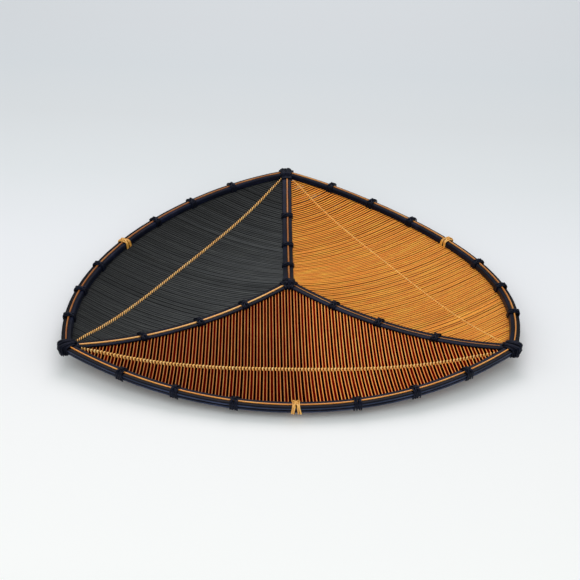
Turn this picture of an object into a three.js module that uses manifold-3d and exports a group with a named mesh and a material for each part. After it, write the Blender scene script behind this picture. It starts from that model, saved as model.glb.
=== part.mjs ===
// A shallow three-cornered tray of bamboo strips, bound with rattan.
// Three bowed rims and three ribs that meet at a raised hub hold three troughs of fine strips,
// called petals here. Millimetres, +Z up. The front petal faces -Y, and the tray rests on the
// bellies of its three troughs at Z = 0.

import * as THREE from 'three';
import { mergeVertices } from 'three/addons/utils/BufferGeometryUtils.js';
import Module from 'manifold-3d';

const wasm = await Module();
wasm.setup();

// Plan and heights of the tray. Heights are taken down from the top of the rims at the corners.
const CORNER_SPAN = 500;
const RIM_BOW = 94;
const RIM_DIP = 12.5;
const RIM_DIP_POWER = 1.5;
const HUB_DROP = 4.9;
const RIB_SAG = 19.4;
const BELLY_BOW = 7;
const BELLY_POWER = 3;
const FOOT_CLEARANCE = 1.1;
const FOOT_FLAT_DEPTH = 0.4;

// Rim: an inner and an outer hoop with a rattan cap between them, leaning outwards.
const RIM_LEAN = THREE.MathUtils.degToRad(10);
const CAP_WIDTH = 2.7;
const CAP_PROUD = 0.9;
const INNER_HOOP_WIDTH = 4;
const INNER_HOOP_HEIGHT = 6.3;
const OUTER_HOOP_WIDTH = 4;
const OUTER_HOOP_HEIGHT = 8.5;
const OUTER_HOOP_STRIPS = 4;
const STRIP_GROOVE = 0.5;
const HOOP_CHAMFER = 0.7;

// Rib: two flanks that lie on the strip ends, with a cap standing between them.
const RIB_CAP_WIDTH = 2.9;
const RIB_CAP_PROUD = 0.7;
const FLANK_WIDTH = 4.6;
const FLANK_HEIGHT = 2.2;
const RIB_KEEL = 1;

// Panels of fine strips, and the line of twining that runs over each of them.
const PANEL_THICKNESS = 1.5;
const PANEL_END_MARGIN = 18;
const TWINE_HEIGHT = 1.4;

// Rattan strand of the ties and knots.
const STRAND_WIDTH = 2;
const STRAND_THICKNESS = 0.9;
const STRAND_SPACE = 0.6;
const STRAND_LIFT = 0.8;
const TIE_SPLAY = 1.2;
const TIE_LEGS = 4;
const RIM_TIES = 7;
const RIM_TIE_SPACING = 66;
const RIB_TIE_DISTANCES = [62, 122, 195];
const CORNER_LEGS = 5;
const HUB_LEG_DISTANCE = 7;
const HUB_LEGS = 2;
const HUB_LEG_SPACE = 1.2;
const HUB_DROP_LEG_DISTANCE = 14;

// Clearances between pieces that touch on the real tray.
const GAP = 0.3;
const SEAT_GAP = 0.4;
const KNOT_GAP = 0.5;

// Faceting.
const RIM_STEPS = 24;
const RIB_STEPS = 12;
const PANEL_COLUMNS = 24;
const TROUGH_ROWS = 3;

// The three petals. Each is drawn facing -Y and turned about Z, with the rib and the corner on its
// left. The rims are bent by hand, so each bows a little more to one side (skew). The strips lie in
// one or two sheets side by side.
const PETALS = [
  {
    name: 'front',
    turn: 0,
    skew: 0.05,
    rib: 'left',
    tieShift: 4,
    twineWidth: 6,
    strips: 'mixed',
    sheets: ['front_panel_left', 'front_panel_right'],
  },
  {
    name: 'right',
    turn: 120,
    skew: -0.21,
    rib: 'right',
    tieShift: 1,
    twineWidth: 3,
    strips: 'natural',
    sheets: ['right_panel_front', 'right_panel_back'],
  },
  {
    name: 'left',
    turn: -120,
    skew: -0.05,
    rib: 'back',
    tieShift: 7,
    twineWidth: 4,
    strips: 'black',
    sheets: ['left_panel'],
  },
];
const PETAL_TURN = THREE.MathUtils.degToRad(120);

const UP = new THREE.Vector3(0, 0, 1);

// Sizes that follow from the ones above.
const halfSpan = CORNER_SPAN / 2;
const chordDistance = halfSpan / Math.sqrt(3);
const ribLength = 2 * chordDistance;
const rimRadius = (halfSpan ** 2 + RIM_BOW ** 2) / (2 * RIM_BOW);
const rimHalfAngle = Math.asin(halfSpan / rimRadius);
const rimHalfLength = rimRadius * rimHalfAngle;

const innerFace = CAP_WIDTH / 2 + GAP + INNER_HOOP_WIDTH;
const outerFace = CAP_WIDTH / 2 + GAP + OUTER_HOOP_WIDTH;
const flankFace = RIB_CAP_WIDTH / 2 + GAP + FLANK_WIDTH;
const innerHoopBottom = -CAP_PROUD - INNER_HOOP_HEIGHT;
const outerHoopBottom = -CAP_PROUD - OUTER_HOOP_HEIGHT;
const flankBottom = -RIB_CAP_PROUD - FLANK_HEIGHT;
const panelTopAtRim = innerHoopBottom - SEAT_GAP;
const panelTopAtRib = flankBottom - SEAT_GAP;
const panelReach = CAP_WIDTH / 2 + GAP - SEAT_GAP - PANEL_THICKNESS * Math.tan(RIM_LEAN);
const ribCapBottom = panelTopAtRib - PANEL_THICKNESS - RIB_KEEL;

const strandOffset = SEAT_GAP + STRAND_THICKNESS / 2;
const strandPitch = STRAND_WIDTH + STRAND_SPACE;
const strandLevel = STRAND_THICKNESS + STRAND_LIFT;
const tieReach = (TIE_LEGS / 2) * strandPitch + TIE_SPLAY + STRAND_WIDTH / 2 + GAP;
const hubLegPitch = STRAND_WIDTH + HUB_LEG_SPACE;
const slotWidth = STRAND_THICKNESS + 2 * SEAT_GAP;
const levelMargin = strandOffset + slotWidth / 2 + GAP;
const panelEnd = halfSpan - PANEL_END_MARGIN;

// The bundles that the strands go round: distances to the middle of the strand.
const rimBundle = {
  inner: innerFace + strandOffset,
  outer: outerFace + strandOffset,
  shoulder: -CAP_PROUD + strandOffset,
  crown: strandOffset,
  bottom: Math.min(outerHoopBottom, panelTopAtRim - PANEL_THICKNESS) - strandOffset,
};
const ribBundle = {
  inner: flankFace + strandOffset,
  outer: flankFace + strandOffset,
  shoulder: -RIB_CAP_PROUD + strandOffset,
  crown: strandOffset,
  bottom: ribCapBottom - strandOffset,
};
const hubBundle = { ...ribBundle, bottom: ribBundle.bottom - KNOT_GAP };
const cornerBundle = {
  inner: innerFace + KNOT_GAP + STRAND_THICKNESS / 2,
  outer: outerFace + KNOT_GAP + STRAND_THICKNESS / 2,
  shoulder: rimBundle.shoulder,
  crown: rimBundle.crown,
  bottom: rimBundle.bottom,
};

// Materials.
function finish(color, roughness) {
  return new THREE.MeshStandardMaterial({ color, roughness, metalness: 0 });
}
const blackBamboo = finish('#1b1d24', 0.45);
const blackRattan = finish('#15171c', 0.5);
const capRattan = finish('#c9803f', 0.5);
const tieRattan = finish('#d9a24a', 0.5);
const twineRattan = finish('#e8c070', 0.55);
const panelFinishes = {
  mixed: finish('#7c3a1e', 0.5),
  natural: finish('#c98a3e', 0.55),
  black: finish('#34363a', 0.5),
};

// Curves of the tray, in the coordinates of one petal.

function rimPoint(skew, t) {
  const x = rimRadius * Math.sin(t * rimHalfAngle);
  const bow = rimRadius * (Math.cos(t * rimHalfAngle) - Math.cos(rimHalfAngle));
  const y = -chordDistance - bow * (1 + (skew * x) / halfSpan);
  const z = -RIM_DIP * Math.max(0, 1 - t * t) ** RIM_DIP_POWER;
  return new THREE.Vector3(x, y, z);
}

// A frame on a bundle: where its cap runs, the way along it, and the way out across it. Points of
// its section are u across, outwards, and w up from the top of the cap.
function rimFrame(skew, t) {
  const step = 0.001;
  const along = rimPoint(skew, t + step).sub(rimPoint(skew, t - step)).normalize();
  const out = new THREE.Vector3(along.y, -along.x, 0).normalize();
  return { at: rimPoint(skew, t), along, out, lean: Math.tan(RIM_LEAN), stretch: 1 };
}

function rimFrameAtDistance(skew, distance) {
  return rimFrame(skew, distance / rimHalfLength);
}

function ribHeight(distance) {
  const t = distance / ribLength;
  return -HUB_DROP * (1 - t) - 4 * RIB_SAG * t * (1 - t);
}

const ribAlong = new THREE.Vector3(-Math.cos(Math.PI / 6), -Math.sin(Math.PI / 6), 0);
const ribOut = new THREE.Vector3(Math.sin(Math.PI / 6), -Math.cos(Math.PI / 6), 0);

function ribFrame(distance) {
  const at = ribAlong.clone().multiplyScalar(distance);
  at.z = ribHeight(distance);
  const along = ribAlong.clone();
  along.z = ribHeight(distance + 0.5) - ribHeight(distance - 0.5);
  return { at, along: along.normalize(), out: ribOut.clone(), lean: 0, stretch: 1 };
}

function turnFrame(frame, angle) {
  return {
    ...frame,
    at: frame.at.clone().applyAxisAngle(UP, angle),
    along: frame.along.clone().applyAxisAngle(UP, angle),
    out: frame.out.clone().applyAxisAngle(UP, angle),
  };
}

function place(frame, u, w) {
  return frame.at
    .clone()
    .addScaledVector(frame.out, u * frame.stretch + w * frame.lean)
    .addScaledVector(UP, w);
}

// The trough of one petal. Each strip runs in a plane of constant x, level under the rim and under
// the rib, and in a parabola between them that touches the belly line.

function rimCrossing(skew, x, u, w) {
  let low = -1.2;
  let high = 1.2;
  for (let i = 0; i < 40; i += 1) {
    const middle = (low + high) / 2;
    if (place(rimFrame(skew, middle), u, w).x < x) {
      low = middle;
    } else {
      high = middle;
    }
  }
  return place(rimFrame(skew, low), u, w);
}

function ribCrossing(x, v, w) {
  const y = -(Math.abs(x) * Math.sin(Math.PI / 6) + v) / Math.cos(Math.PI / 6);
  const distance = Math.abs(x) * Math.cos(Math.PI / 6) - y * Math.sin(Math.PI / 6);
  return new THREE.Vector3(x, y, ribHeight(distance) + w);
}

const ribLow = Math.min(...Array.from({ length: 101 }, (_, i) => ribHeight((i / 100) * ribLength)));
const bellyLow = ribLow + ribBundle.bottom - STRAND_THICKNESS / 2 - FOOT_CLEARANCE + PANEL_THICKNESS;

// The strip's top at the edge of the rim, on the belly line and at the edge of the rib.
function stripAnchors(skew, x) {
  const t = x / halfSpan;
  const rim = rimCrossing(skew, x, -innerFace - levelMargin, panelTopAtRim);
  const rib = ribCrossing(x, flankFace + levelMargin, panelTopAtRib);
  const y = -chordDistance - BELLY_BOW * (1 - t * t);
  const share = (y - rib.y) / (rim.y - rib.y);
  const straight = rib.z + share * (rim.z - rib.z);
  const z = Math.min(straight, bellyLow * (1 - Math.abs(t) ** BELLY_POWER));
  return { rim, belly: new THREE.Vector3(x, y, z), rib };
}

// Height at y of the parabola through three points of one strip.
function troughHeight({ rim, belly, rib }, y) {
  const atRim = ((y - belly.y) * (y - rib.y)) / ((rim.y - belly.y) * (rim.y - rib.y));
  const atBelly = ((y - rim.y) * (y - rib.y)) / ((belly.y - rim.y) * (belly.y - rib.y));
  const atRib = ((y - rim.y) * (y - belly.y)) / ((rib.y - rim.y) * (rib.y - belly.y));
  return atRim * rim.z + atBelly * belly.z + atRib * rib.z;
}

// One strip's course over its rows, from under the outer hoop to under the rib.
function stripCourse(skew, x) {
  const anchors = stripAnchors(skew, x);
  const { rim, belly, rib } = anchors;
  const course = [rimCrossing(skew, x, panelReach, panelTopAtRim)];
  for (let row = 0; row <= 2 * TROUGH_ROWS; row += 1) {
    const [from, to] = row < TROUGH_ROWS ? [rim, belly] : [belly, rib];
    const share = (row < TROUGH_ROWS ? row : row - TROUGH_ROWS) / TROUGH_ROWS;
    const y = from.y + share * (to.y - from.y);
    course.push(new THREE.Vector3(x, y, troughHeight(anchors, y)));
  }
  course.push(ribCrossing(x, RIB_CAP_WIDTH / 2 + GAP, panelTopAtRib));
  return course;
}

// Shape helpers.

function outline(points) {
  return new THREE.Shape(points.map(([x, y]) => new THREE.Vector2(x, y)));
}

function bend(geometry, position) {
  const { position: corners } = geometry.attributes;
  for (let i = 0; i < corners.count; i += 1) {
    const point = position(corners.getX(i), corners.getY(i), corners.getZ(i));
    corners.setXYZ(i, point.x, point.y, point.z);
  }
  geometry.computeVertexNormals();
  return geometry;
}

function sweep(points, steps, position) {
  const bar = new THREE.ExtrudeGeometry(outline(points), { depth: 1, steps, bevelEnabled: false });
  return bend(bar, position);
}

function solid(geometry) {
  const bare = geometry.clone();
  bare.deleteAttribute('normal');
  bare.deleteAttribute('uv');
  const merged = mergeVertices(bare, 1e-4);
  const vertProperties = new Float32Array(merged.attributes.position.array);
  const triVerts = new Uint32Array(merged.index.array);
  return new wasm.Manifold(new wasm.Mesh({ numProp: 3, vertProperties, triVerts }));
}

function fromSolid(body) {
  const { vertProperties, triVerts } = body.getMesh();
  const geometry = new THREE.BufferGeometry();
  geometry.setAttribute('position', new THREE.Float32BufferAttribute(vertProperties, 3));
  geometry.setIndex(new THREE.Uint32BufferAttribute(triVerts, 1));
  geometry.computeVertexNormals();
  return geometry;
}

function boxAt(frame, u, w, size) {
  const box = new THREE.BoxGeometry(size.along, size.across, size.height);
  const turn = Math.atan2(frame.along.y, frame.along.x);
  const centre = place(frame, u, w);
  return box.rotateZ(turn).translate(centre.x, centre.y, centre.z);
}

// Rims.

// The two rims at a corner meet on the plane through the hub.
function mitre(point, along, side) {
  const normal = new THREE.Vector3(-side * Math.sin(Math.PI / 6), -Math.cos(Math.PI / 6), 0);
  const shift = (GAP / 2 - point.dot(normal)) / along.dot(normal);
  return point.clone().addScaledVector(along, shift);
}

function rimBar(petal, points) {
  return sweep(points, RIM_STEPS, (u, w, z) => {
    const t = 1 - 2 * z;
    const frame = rimFrame(petal.skew, t);
    const point = place(frame, u, w);
    return Math.abs(t) > 1 - 1e-6 ? mitre(point, frame.along, Math.sign(t)) : point;
  });
}

function capOutline(width, proud, bottom) {
  const half = width / 2;
  return [[-half, bottom], [half, bottom], [half, -proud], [half / 2, 0], [-half / 2, 0], [-half, -proud]];
}

function innerHoopOutline() {
  const near = -CAP_WIDTH / 2 - GAP;
  return [
    [-innerFace, innerHoopBottom],
    [near, innerHoopBottom],
    [near, -CAP_PROUD],
    [-innerFace + HOOP_CHAMFER, -CAP_PROUD],
    [-innerFace, -CAP_PROUD - HOOP_CHAMFER],
  ];
}

// The outer face is a stack of fine strips, with a groove between neighbours.
function outerHoopOutline() {
  const near = CAP_WIDTH / 2 + GAP;
  const strip = OUTER_HOOP_HEIGHT / OUTER_HOOP_STRIPS;
  const points = [[near, -CAP_PROUD], [near, outerHoopBottom], [outerFace - STRIP_GROOVE, outerHoopBottom]];
  for (let i = 0; i < OUTER_HOOP_STRIPS; i += 1) {
    const bottom = outerHoopBottom + i * strip;
    points.push([outerFace, bottom + STRIP_GROOVE]);
    points.push([outerFace, bottom + strip - STRIP_GROOVE]);
    points.push([outerFace - STRIP_GROOVE, bottom + strip]);
  }
  return points;
}

// Ribs.

// Where a rib stops short of a corner, for the knot's strands to pass between it and the hoops.
function ribEnd(petal, v, w) {
  const towardsHub = ribAlong.clone().negate();
  const own = rimFrame(petal.skew, -1).along;
  const other = rimFrame(previous(petal).skew, 1).along.negate().applyAxisAngle(UP, -PETAL_TURN);
  const rim = v > 0 ? own : other;
  const cosine = rim.dot(towardsHub);
  const sine = Math.sqrt(1 - cosine ** 2);
  const strand = STRAND_THICKNESS + (STRAND_WIDTH / 2) * cosine;
  const reach = innerFace - w * Math.tan(RIM_LEAN) + 2 * KNOT_GAP + strand;
  return ribLength - (reach + Math.abs(v) * cosine) / sine;
}

function ribBar(petal, points, start) {
  return sweep(points, RIB_STEPS, (v, w, z) => {
    const distance = start + (ribEnd(petal, v, w) - start) * z;
    return place(ribFrame(distance), v, w);
  });
}

function flankOutline(side) {
  const near = RIB_CAP_WIDTH / 2 + GAP;
  const points = [
    [near, flankBottom],
    [flankFace, flankBottom],
    [flankFace, -RIB_CAP_PROUD - HOOP_CHAMFER],
    [flankFace - HOOP_CHAMFER, -RIB_CAP_PROUD],
    [near, -RIB_CAP_PROUD],
  ];
  return side > 0 ? points : points.map(([v, w]) => [-v, w]).reverse();
}

// Panels and twining.

function panelSlots(petal) {
  const across = slotWidth;
  const height = 4 * PANEL_THICKNESS;
  const size = { along: 2 * tieReach, across, height };
  const shift = strandPitch / 2;
  const rimMiddle = panelTopAtRim - PANEL_THICKNESS / 2;
  const ribMiddle = panelTopAtRib - PANEL_THICKNESS / 2;
  const slots = rimTieDistances(petal).map((distance) =>
    boxAt(rimFrameAtDistance(petal.skew, distance + shift), -rimBundle.inner, rimMiddle, size));
  const hubSize = { along: HUB_LEGS * hubLegPitch, across: across + STRAND_THICKNESS, height };
  const hubMiddle = HUB_LEG_DISTANCE + ((HUB_LEGS - 1) * hubLegPitch) / 2;
  const ribCuts = RIB_TIE_DISTANCES.map((distance) => [distance + shift, size]);
  ribCuts.push([hubMiddle, hubSize]);
  for (const [distance, cut] of ribCuts) {
    const frame = ribFrame(distance);
    slots.push(boxAt(frame, ribBundle.outer, ribMiddle, cut));
    slots.push(boxAt(turnFrame(frame, PETAL_TURN), -ribBundle.inner, ribMiddle, cut));
  }
  if (petal.name === 'front') {
    const dropSize = { along: 2 * strandPitch + GAP, across, height };
    const dropMiddle = frontTrough() - PANEL_THICKNESS / 2;
    slots.push(boxAt(hubSide(HUB_DROP_LEG_DISTANCE, 0), 0, dropMiddle, dropSize));
  }
  return slots;
}

// The sheets of one petal, each from x to x with a gap to the next.
function panelBoards(petal) {
  const width = (2 * panelEnd + GAP) / petal.sheets.length;
  return petal.sheets.map((name, i) => {
    const from = -panelEnd + i * width;
    return boardBetween(petal, from, from + width - GAP);
  });
}

function boardBetween(petal, from, to) {
  const rows = 2 * TROUGH_ROWS + 2;
  const courses = new Map();
  const columns = Math.round(PANEL_COLUMNS / petal.sheets.length);
  const board = new THREE.BoxGeometry(1, rows, 1, columns, rows, 1);
  bend(board, (across, row, layer) => {
    const x = from + (across + 0.5) * (to - from);
    if (!courses.has(x)) {
      courses.set(x, stripCourse(petal.skew, x));
    }
    const point = courses.get(x)[Math.round(row + rows / 2)].clone();
    point.z -= layer > 0 ? 0 : PANEL_THICKNESS;
    return point;
  });
  return board;
}

// The lowest point under the three troughs, and the plane that the bellies are cut flat on.
function lowestPoint(geometries) {
  return Math.min(...geometries.map((geometry) => {
    geometry.computeBoundingBox();
    return geometry.boundingBox.min.z;
  }));
}

function cutPanel(petal, board, floorHeight) {
  let body = solid(board);
  for (const slot of panelSlots(petal)) {
    body = body.subtract(solid(slot));
  }
  const slab = new THREE.BoxGeometry(2 * CORNER_SPAN, 2 * CORNER_SPAN, CORNER_SPAN);
  slab.translate(0, 0, floorHeight - CORNER_SPAN / 2);
  return fromSolid(body.subtract(solid(slab)));
}

// The twining lies over the strips along the belly line.
function twineGeometry(petal) {
  const half = petal.twineWidth / 2;
  const points = [[-half, 0], [half, 0], [half, TWINE_HEIGHT / 2], [half / 2, TWINE_HEIGHT]];
  points.push([-half / 2, TWINE_HEIGHT], [-half, TWINE_HEIGHT / 2]);
  return sweep(points, PANEL_COLUMNS, (across, height, z) => {
    const x = panelEnd * (1 - 2 * z);
    const { belly } = stripAnchors(petal.skew, x);
    return new THREE.Vector3(x, belly.y - across, belly.z + SEAT_GAP + height);
  });
}

// Ties and knots: one flat strand each.

// A point of a strand: on a frame at u, w, with its flat side turned to the section's nu, nw.
function strandPoint(frame, u, w, nu, nw) {
  const up = UP.clone().addScaledVector(frame.along, -frame.along.z).normalize();
  const normal = frame.out.clone().multiplyScalar(nu).addScaledVector(up, nw).normalize();
  return { at: place(frame, u, w), normal };
}

function strandRings(points) {
  const rings = [];
  let lastAcross = null;
  points.forEach(({ at, normal }, i) => {
    const before = points[Math.max(0, i - 1)].at;
    const after = points[Math.min(points.length - 1, i + 1)].at;
    const arriving = (i > 0 ? at.clone().sub(before) : after.clone().sub(at)).normalize();
    const leaving = (after !== at ? after.clone().sub(at) : at.clone().sub(before)).normalize();
    const along = arriving.clone().add(leaving).normalize();
    const face = normal.clone().addScaledVector(along, -normal.dot(along)).normalize();
    const across = face.clone().cross(along);
    if (lastAcross && across.dot(lastAcross) < 0) {
      across.negate();
      face.negate();
    }
    lastAcross = across;
    const turn = leaving.clone().sub(arriving);
    const lengthen = 1 / arriving.dot(along) - 1;
    if (turn.length() > 0) {
      turn.normalize();
    }
    rings.push({ at, across, face, turn, lengthen });
  });
  return rings;
}

function ringPoint(ring, x, y) {
  const offset = ring.across.clone().multiplyScalar(x).addScaledVector(ring.face, y);
  offset.addScaledVector(ring.turn, offset.dot(ring.turn) * ring.lengthen);
  return offset.add(ring.at);
}

const strandOutline = [
  [-STRAND_WIDTH / 2, -STRAND_THICKNESS / 2],
  [STRAND_WIDTH / 2, -STRAND_THICKNESS / 2],
  [STRAND_WIDTH / 2, STRAND_THICKNESS / 2],
  [-STRAND_WIDTH / 2, STRAND_THICKNESS / 2],
];

// The least distance between stretches of a strand that don't follow each other, measured
// between points spread along its edges.
function leastGap(rings) {
  const share = 8;
  const stretches = [];
  for (let i = 0; i + 1 < rings.length; i += 1) {
    const points = [];
    for (const [x, y] of strandOutline) {
      const from = ringPoint(rings[i], x, y);
      const to = ringPoint(rings[i + 1], x, y);
      for (let k = 0; k <= share; k += 1) {
        points.push(from.clone().lerp(to, k / share));
      }
    }
    stretches.push(points);
  }
  let least = Infinity;
  for (let i = 0; i < stretches.length; i += 1) {
    for (let j = i + 2; j < stretches.length; j += 1) {
      for (const a of stretches[i]) {
        for (const b of stretches[j]) {
          least = Math.min(least, a.distanceTo(b));
        }
      }
    }
  }
  return least;
}

function strandGeometry(name, points) {
  const rings = strandRings(points);
  console.log(`${name}: least gap of the strand to itself ${leastGap(rings).toFixed(2)} mm`);
  const last = rings.length - 1;
  return sweep(strandOutline, last, (x, y, z) => ringPoint(rings[Math.round(z * last)], x, y));
}

// One leg: up the inner side, over the cap and down the outer side. Its feet may stand apart from
// where it crosses the cap.
function legPoints(top, bundle, foot = top) {
  return [
    strandPoint(foot, -bundle.inner, bundle.bottom, -1, -1),
    strandPoint(top, -bundle.inner, bundle.shoulder, -1, 1),
    strandPoint(top, 0, bundle.crown, 0, 1),
    strandPoint(top, bundle.outer, bundle.shoulder, 1, 1),
    strandPoint(foot, bundle.outer, bundle.bottom, 1, -1),
  ];
}

// A tie: legs side by side, splayed in two halves towards their feet. Then the strand crosses back
// over them on top.
function tiePoints(frameAt, bundle) {
  const points = [];
  for (let i = 0; i < TIE_LEGS; i += 1) {
    const distance = (i - (TIE_LEGS - 1) / 2) * strandPitch;
    const foot = distance + Math.sign(distance) * TIE_SPLAY;
    points.push(...legPoints(frameAt(distance), bundle, frameAt(foot)));
  }
  const last = ((TIE_LEGS + 1) / 2) * strandPitch + TIE_SPLAY;
  points.push(strandPoint(frameAt(last), -bundle.inner, bundle.bottom, -1, -1));
  points.push(strandPoint(frameAt(last), -bundle.inner, bundle.shoulder, -1, 0));
  points.push(strandPoint(frameAt(last), -bundle.inner, bundle.shoulder + strandLevel, -1, 1));
  points.push(strandPoint(frameAt(0), 0, bundle.crown + strandLevel, 0, 1));
  points.push(strandPoint(frameAt(-last), bundle.outer, bundle.shoulder + strandLevel, 0, 1));
  return points;
}

function rimTieDistances(petal) {
  const distances = [];
  for (let i = 0; i < RIM_TIES; i += 1) {
    distances.push((i - (RIM_TIES - 1) / 2) * RIM_TIE_SPACING + petal.tieShift);
  }
  return distances;
}

// The frame at a corner, a distance to one side of the plane through the hub. Between the two rims
// it fans round from one to the other.
function cornerFrame(petal, distance, fan) {
  const own = distance > 0;
  const inset = Math.abs(distance) / rimHalfLength;
  const rim = own
    ? rimFrame(petal.skew, inset - 1)
    : turnFrame(rimFrame(previous(petal).skew, 1 - inset), -PETAL_TURN);
  const share = Math.min(1, Math.abs(distance) / fan);
  const out = ribAlong.clone().lerp(rim.out, share).normalize();
  return { ...rim, out, stretch: 1 / out.dot(rim.out) };
}

function cornerKnotPoints(petal) {
  const { inner, outer, shoulder, crown, bottom } = cornerBundle;
  const gapsEachSide = (CORNER_LEGS - 1) / 2;
  const fans = [-1, 1].map((side) => cornerFrame(petal, side * GAP, GAP).out.angleTo(ribAlong));
  const narrowing = ((inner - bottom * Math.tan(RIM_LEAN)) * Math.max(...fans)) / gapsEachSide;
  const pitch = strandPitch + narrowing + KNOT_GAP;
  const edge = gapsEachSide * pitch;
  const at = (distance) => cornerFrame(petal, distance, edge);
  const points = [];
  for (let i = 0; i < CORNER_LEGS; i += 1) {
    points.push(...legPoints(at(i * pitch - edge), cornerBundle));
  }
  points[points.length - 1] = strandPoint(at(edge), outer, bottom, 1, 1);
  points.push(strandPoint(at(edge), outer + strandLevel, bottom, 1, -1));
  points.push(strandPoint(at(edge), outer + strandLevel, bottom + strandPitch, 1, 0));
  points.push(strandPoint(at(0), outer + strandLevel + KNOT_GAP, (bottom + shoulder) / 2, 1, 0));
  points.push(strandPoint(at(-edge / 2), outer + strandLevel, shoulder + strandLevel, 1, 1));
  points.push(strandPoint(at(-edge), 0, crown + strandLevel, 0, 1));
  points.push(strandPoint(at(0), -inner / 2, crown + strandLevel, 0, 1));
  points.push(strandPoint(at(edge), 0, crown + strandLevel, 0, 1));
  points.push(strandPoint(at(edge / 2), outer + 2 * strandLevel, shoulder + strandLevel, 1, 1));
  points.push(strandPoint(at(0), outer + 2 * strandLevel + KNOT_GAP, (bottom + shoulder) / 2, 1, 0));
  points.push(strandPoint(at(-edge / 2), outer + 2 * strandLevel, bottom + strandLevel, 1, 0));
  return points;
}

// A frame over the hub that faces the front petal, at a distance in front of the hub.
function hubSide(distance, side) {
  const at = new THREE.Vector3(side, -distance, ribHeight(0));
  return { at, along: new THREE.Vector3(1, 0, 0), out: new THREE.Vector3(0, -1, 0), lean: 0, stretch: 1 };
}

// Height of the front strips, above the hub's, where the knot goes down through them.
function frontTrough() {
  return troughHeight(stripAnchors(PETALS[0].skew, 0), -HUB_DROP_LEG_DISTANCE) - ribHeight(0);
}

// The knot starts over the back rib, comes down in front of the hub, goes round the foot of each
// rib in turn and returns beside its start.
function hubKnotPoints() {
  const over = ribBundle.crown + strandLevel;
  const side = strandPitch / 2;
  const backEnd = HUB_LEG_DISTANCE + HUB_LEGS * hubLegPitch;
  const backDrop = ribHeight(backEnd) - ribHeight(0);
  const front = HUB_DROP_LEG_DISTANCE;
  const fold = front - strandPitch;
  const frontBottom = frontTrough() - PANEL_THICKNESS - strandOffset - 2 * KNOT_GAP;
  const points = [
    strandPoint(hubSide(-backEnd, side), 0, over + backDrop, 0, 1),
    strandPoint(hubSide(0, side), 0, over, 0, 1),
    strandPoint(hubSide(front, side), 0, over - RIB_CAP_PROUD, 1, 1),
    strandPoint(hubSide(front, side), 0, frontBottom, 1, -1),
    strandPoint(hubSide(fold, side), 0, frontBottom, 0, -1),
  ];
  [PETAL_TURN, -PETAL_TURN, 0].forEach((turn, rib) => {
    for (let leg = 0; leg < HUB_LEGS; leg += 1) {
      const order = rib % 2 === 0 ? leg : HUB_LEGS - 1 - leg;
      const frame = ribFrame(HUB_LEG_DISTANCE + order * hubLegPitch);
      points.push(...legPoints(turnFrame(frame, turn), hubBundle));
    }
  });
  points.push(
    strandPoint(hubSide(fold, -side), 0, frontBottom, 0, -1),
    strandPoint(hubSide(front, -side), 0, frontBottom, 1, -1),
    strandPoint(hubSide(front, -side), 0, over - RIB_CAP_PROUD, 1, 1),
    strandPoint(hubSide(0, -side), 0, over, 0, 1),
    strandPoint(hubSide(-backEnd, -side), 0, over + backDrop, 0, 1),
  );
  return points;
}

// Assembly.

function previous(petal) {
  return PETALS[(PETALS.indexOf(petal) + PETALS.length - 1) % PETALS.length];
}

function piece(name, geometry, material) {
  const mesh = new THREE.Mesh(geometry, material);
  mesh.name = name;
  return mesh;
}

function buildRim(petal) {
  const name = `${petal.name}_rim`;
  return [
    piece(`${name}_inner_hoop`, rimBar(petal, innerHoopOutline()), blackBamboo),
    piece(`${name}_outer_hoop`, rimBar(petal, outerHoopOutline()), blackBamboo),
    piece(`${name}_cap`, rimBar(petal, capOutline(CAP_WIDTH, CAP_PROUD, innerHoopBottom)), capRattan),
  ];
}

function buildRib(petal) {
  const name = `${petal.rib}_rib`;
  const capStart = (RIB_CAP_WIDTH / 2) * Math.tan(Math.PI / 6) + GAP;
  const flankStart = flankFace * Math.tan(Math.PI / 6) + GAP;
  const cap = capOutline(RIB_CAP_WIDTH, RIB_CAP_PROUD, ribCapBottom);
  return [
    piece(`${name}_cap`, ribBar(petal, cap, capStart), capRattan),
    piece(`${name}_${petal.name}_flank`, ribBar(petal, flankOutline(1), flankStart), blackBamboo),
    piece(`${name}_${previous(petal).name}_flank`, ribBar(petal, flankOutline(-1), flankStart), blackBamboo),
  ];
}

function buildTies(petal) {
  const middle = (RIM_TIES - 1) / 2;
  const ties = rimTieDistances(petal).map((distance, i) => {
    const name = `${petal.name}_rim_tie_${i + 1}`;
    const points = tiePoints((s) => rimFrameAtDistance(petal.skew, distance + s), rimBundle);
    return piece(name, strandGeometry(name, points), i === middle ? tieRattan : blackRattan);
  });
  RIB_TIE_DISTANCES.forEach((distance, i) => {
    const name = `${petal.rib}_rib_tie_${i + 1}`;
    const points = tiePoints((s) => ribFrame(distance + s), ribBundle);
    ties.push(piece(name, strandGeometry(name, points), blackRattan));
  });
  const name = `${petal.rib}_corner_knot`;
  ties.push(piece(name, strandGeometry(name, cornerKnotPoints(petal)), blackRattan));
  return ties;
}

const boards = PETALS.map(panelBoards);
const floorHeight = lowestPoint(boards.flat()) + FOOT_FLAT_DEPTH;

const tray = new THREE.Group();
PETALS.forEach((petal, i) => {
  const group = new THREE.Group();
  group.rotation.z = THREE.MathUtils.degToRad(petal.turn);
  petal.sheets.forEach((name, j) => {
    group.add(piece(name, cutPanel(petal, boards[i][j], floorHeight), panelFinishes[petal.strips]));
  });
  group.add(piece(`${petal.name}_twine`, twineGeometry(petal), twineRattan));
  group.add(...buildRim(petal), ...buildRib(petal), ...buildTies(petal));
  tray.add(group);
});
tray.add(piece('hub_knot', strandGeometry('hub_knot', hubKnotPoints()), blackRattan));

// The origin is under the middle of the tray, on the surface that it rests on.
tray.updateMatrixWorld(true);
const box = new THREE.Box3().setFromObject(tray, true);
const centre = box.getCenter(new THREE.Vector3());
tray.position.set(-centre.x, -centre.y, -box.min.z);

export default tray;
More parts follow.
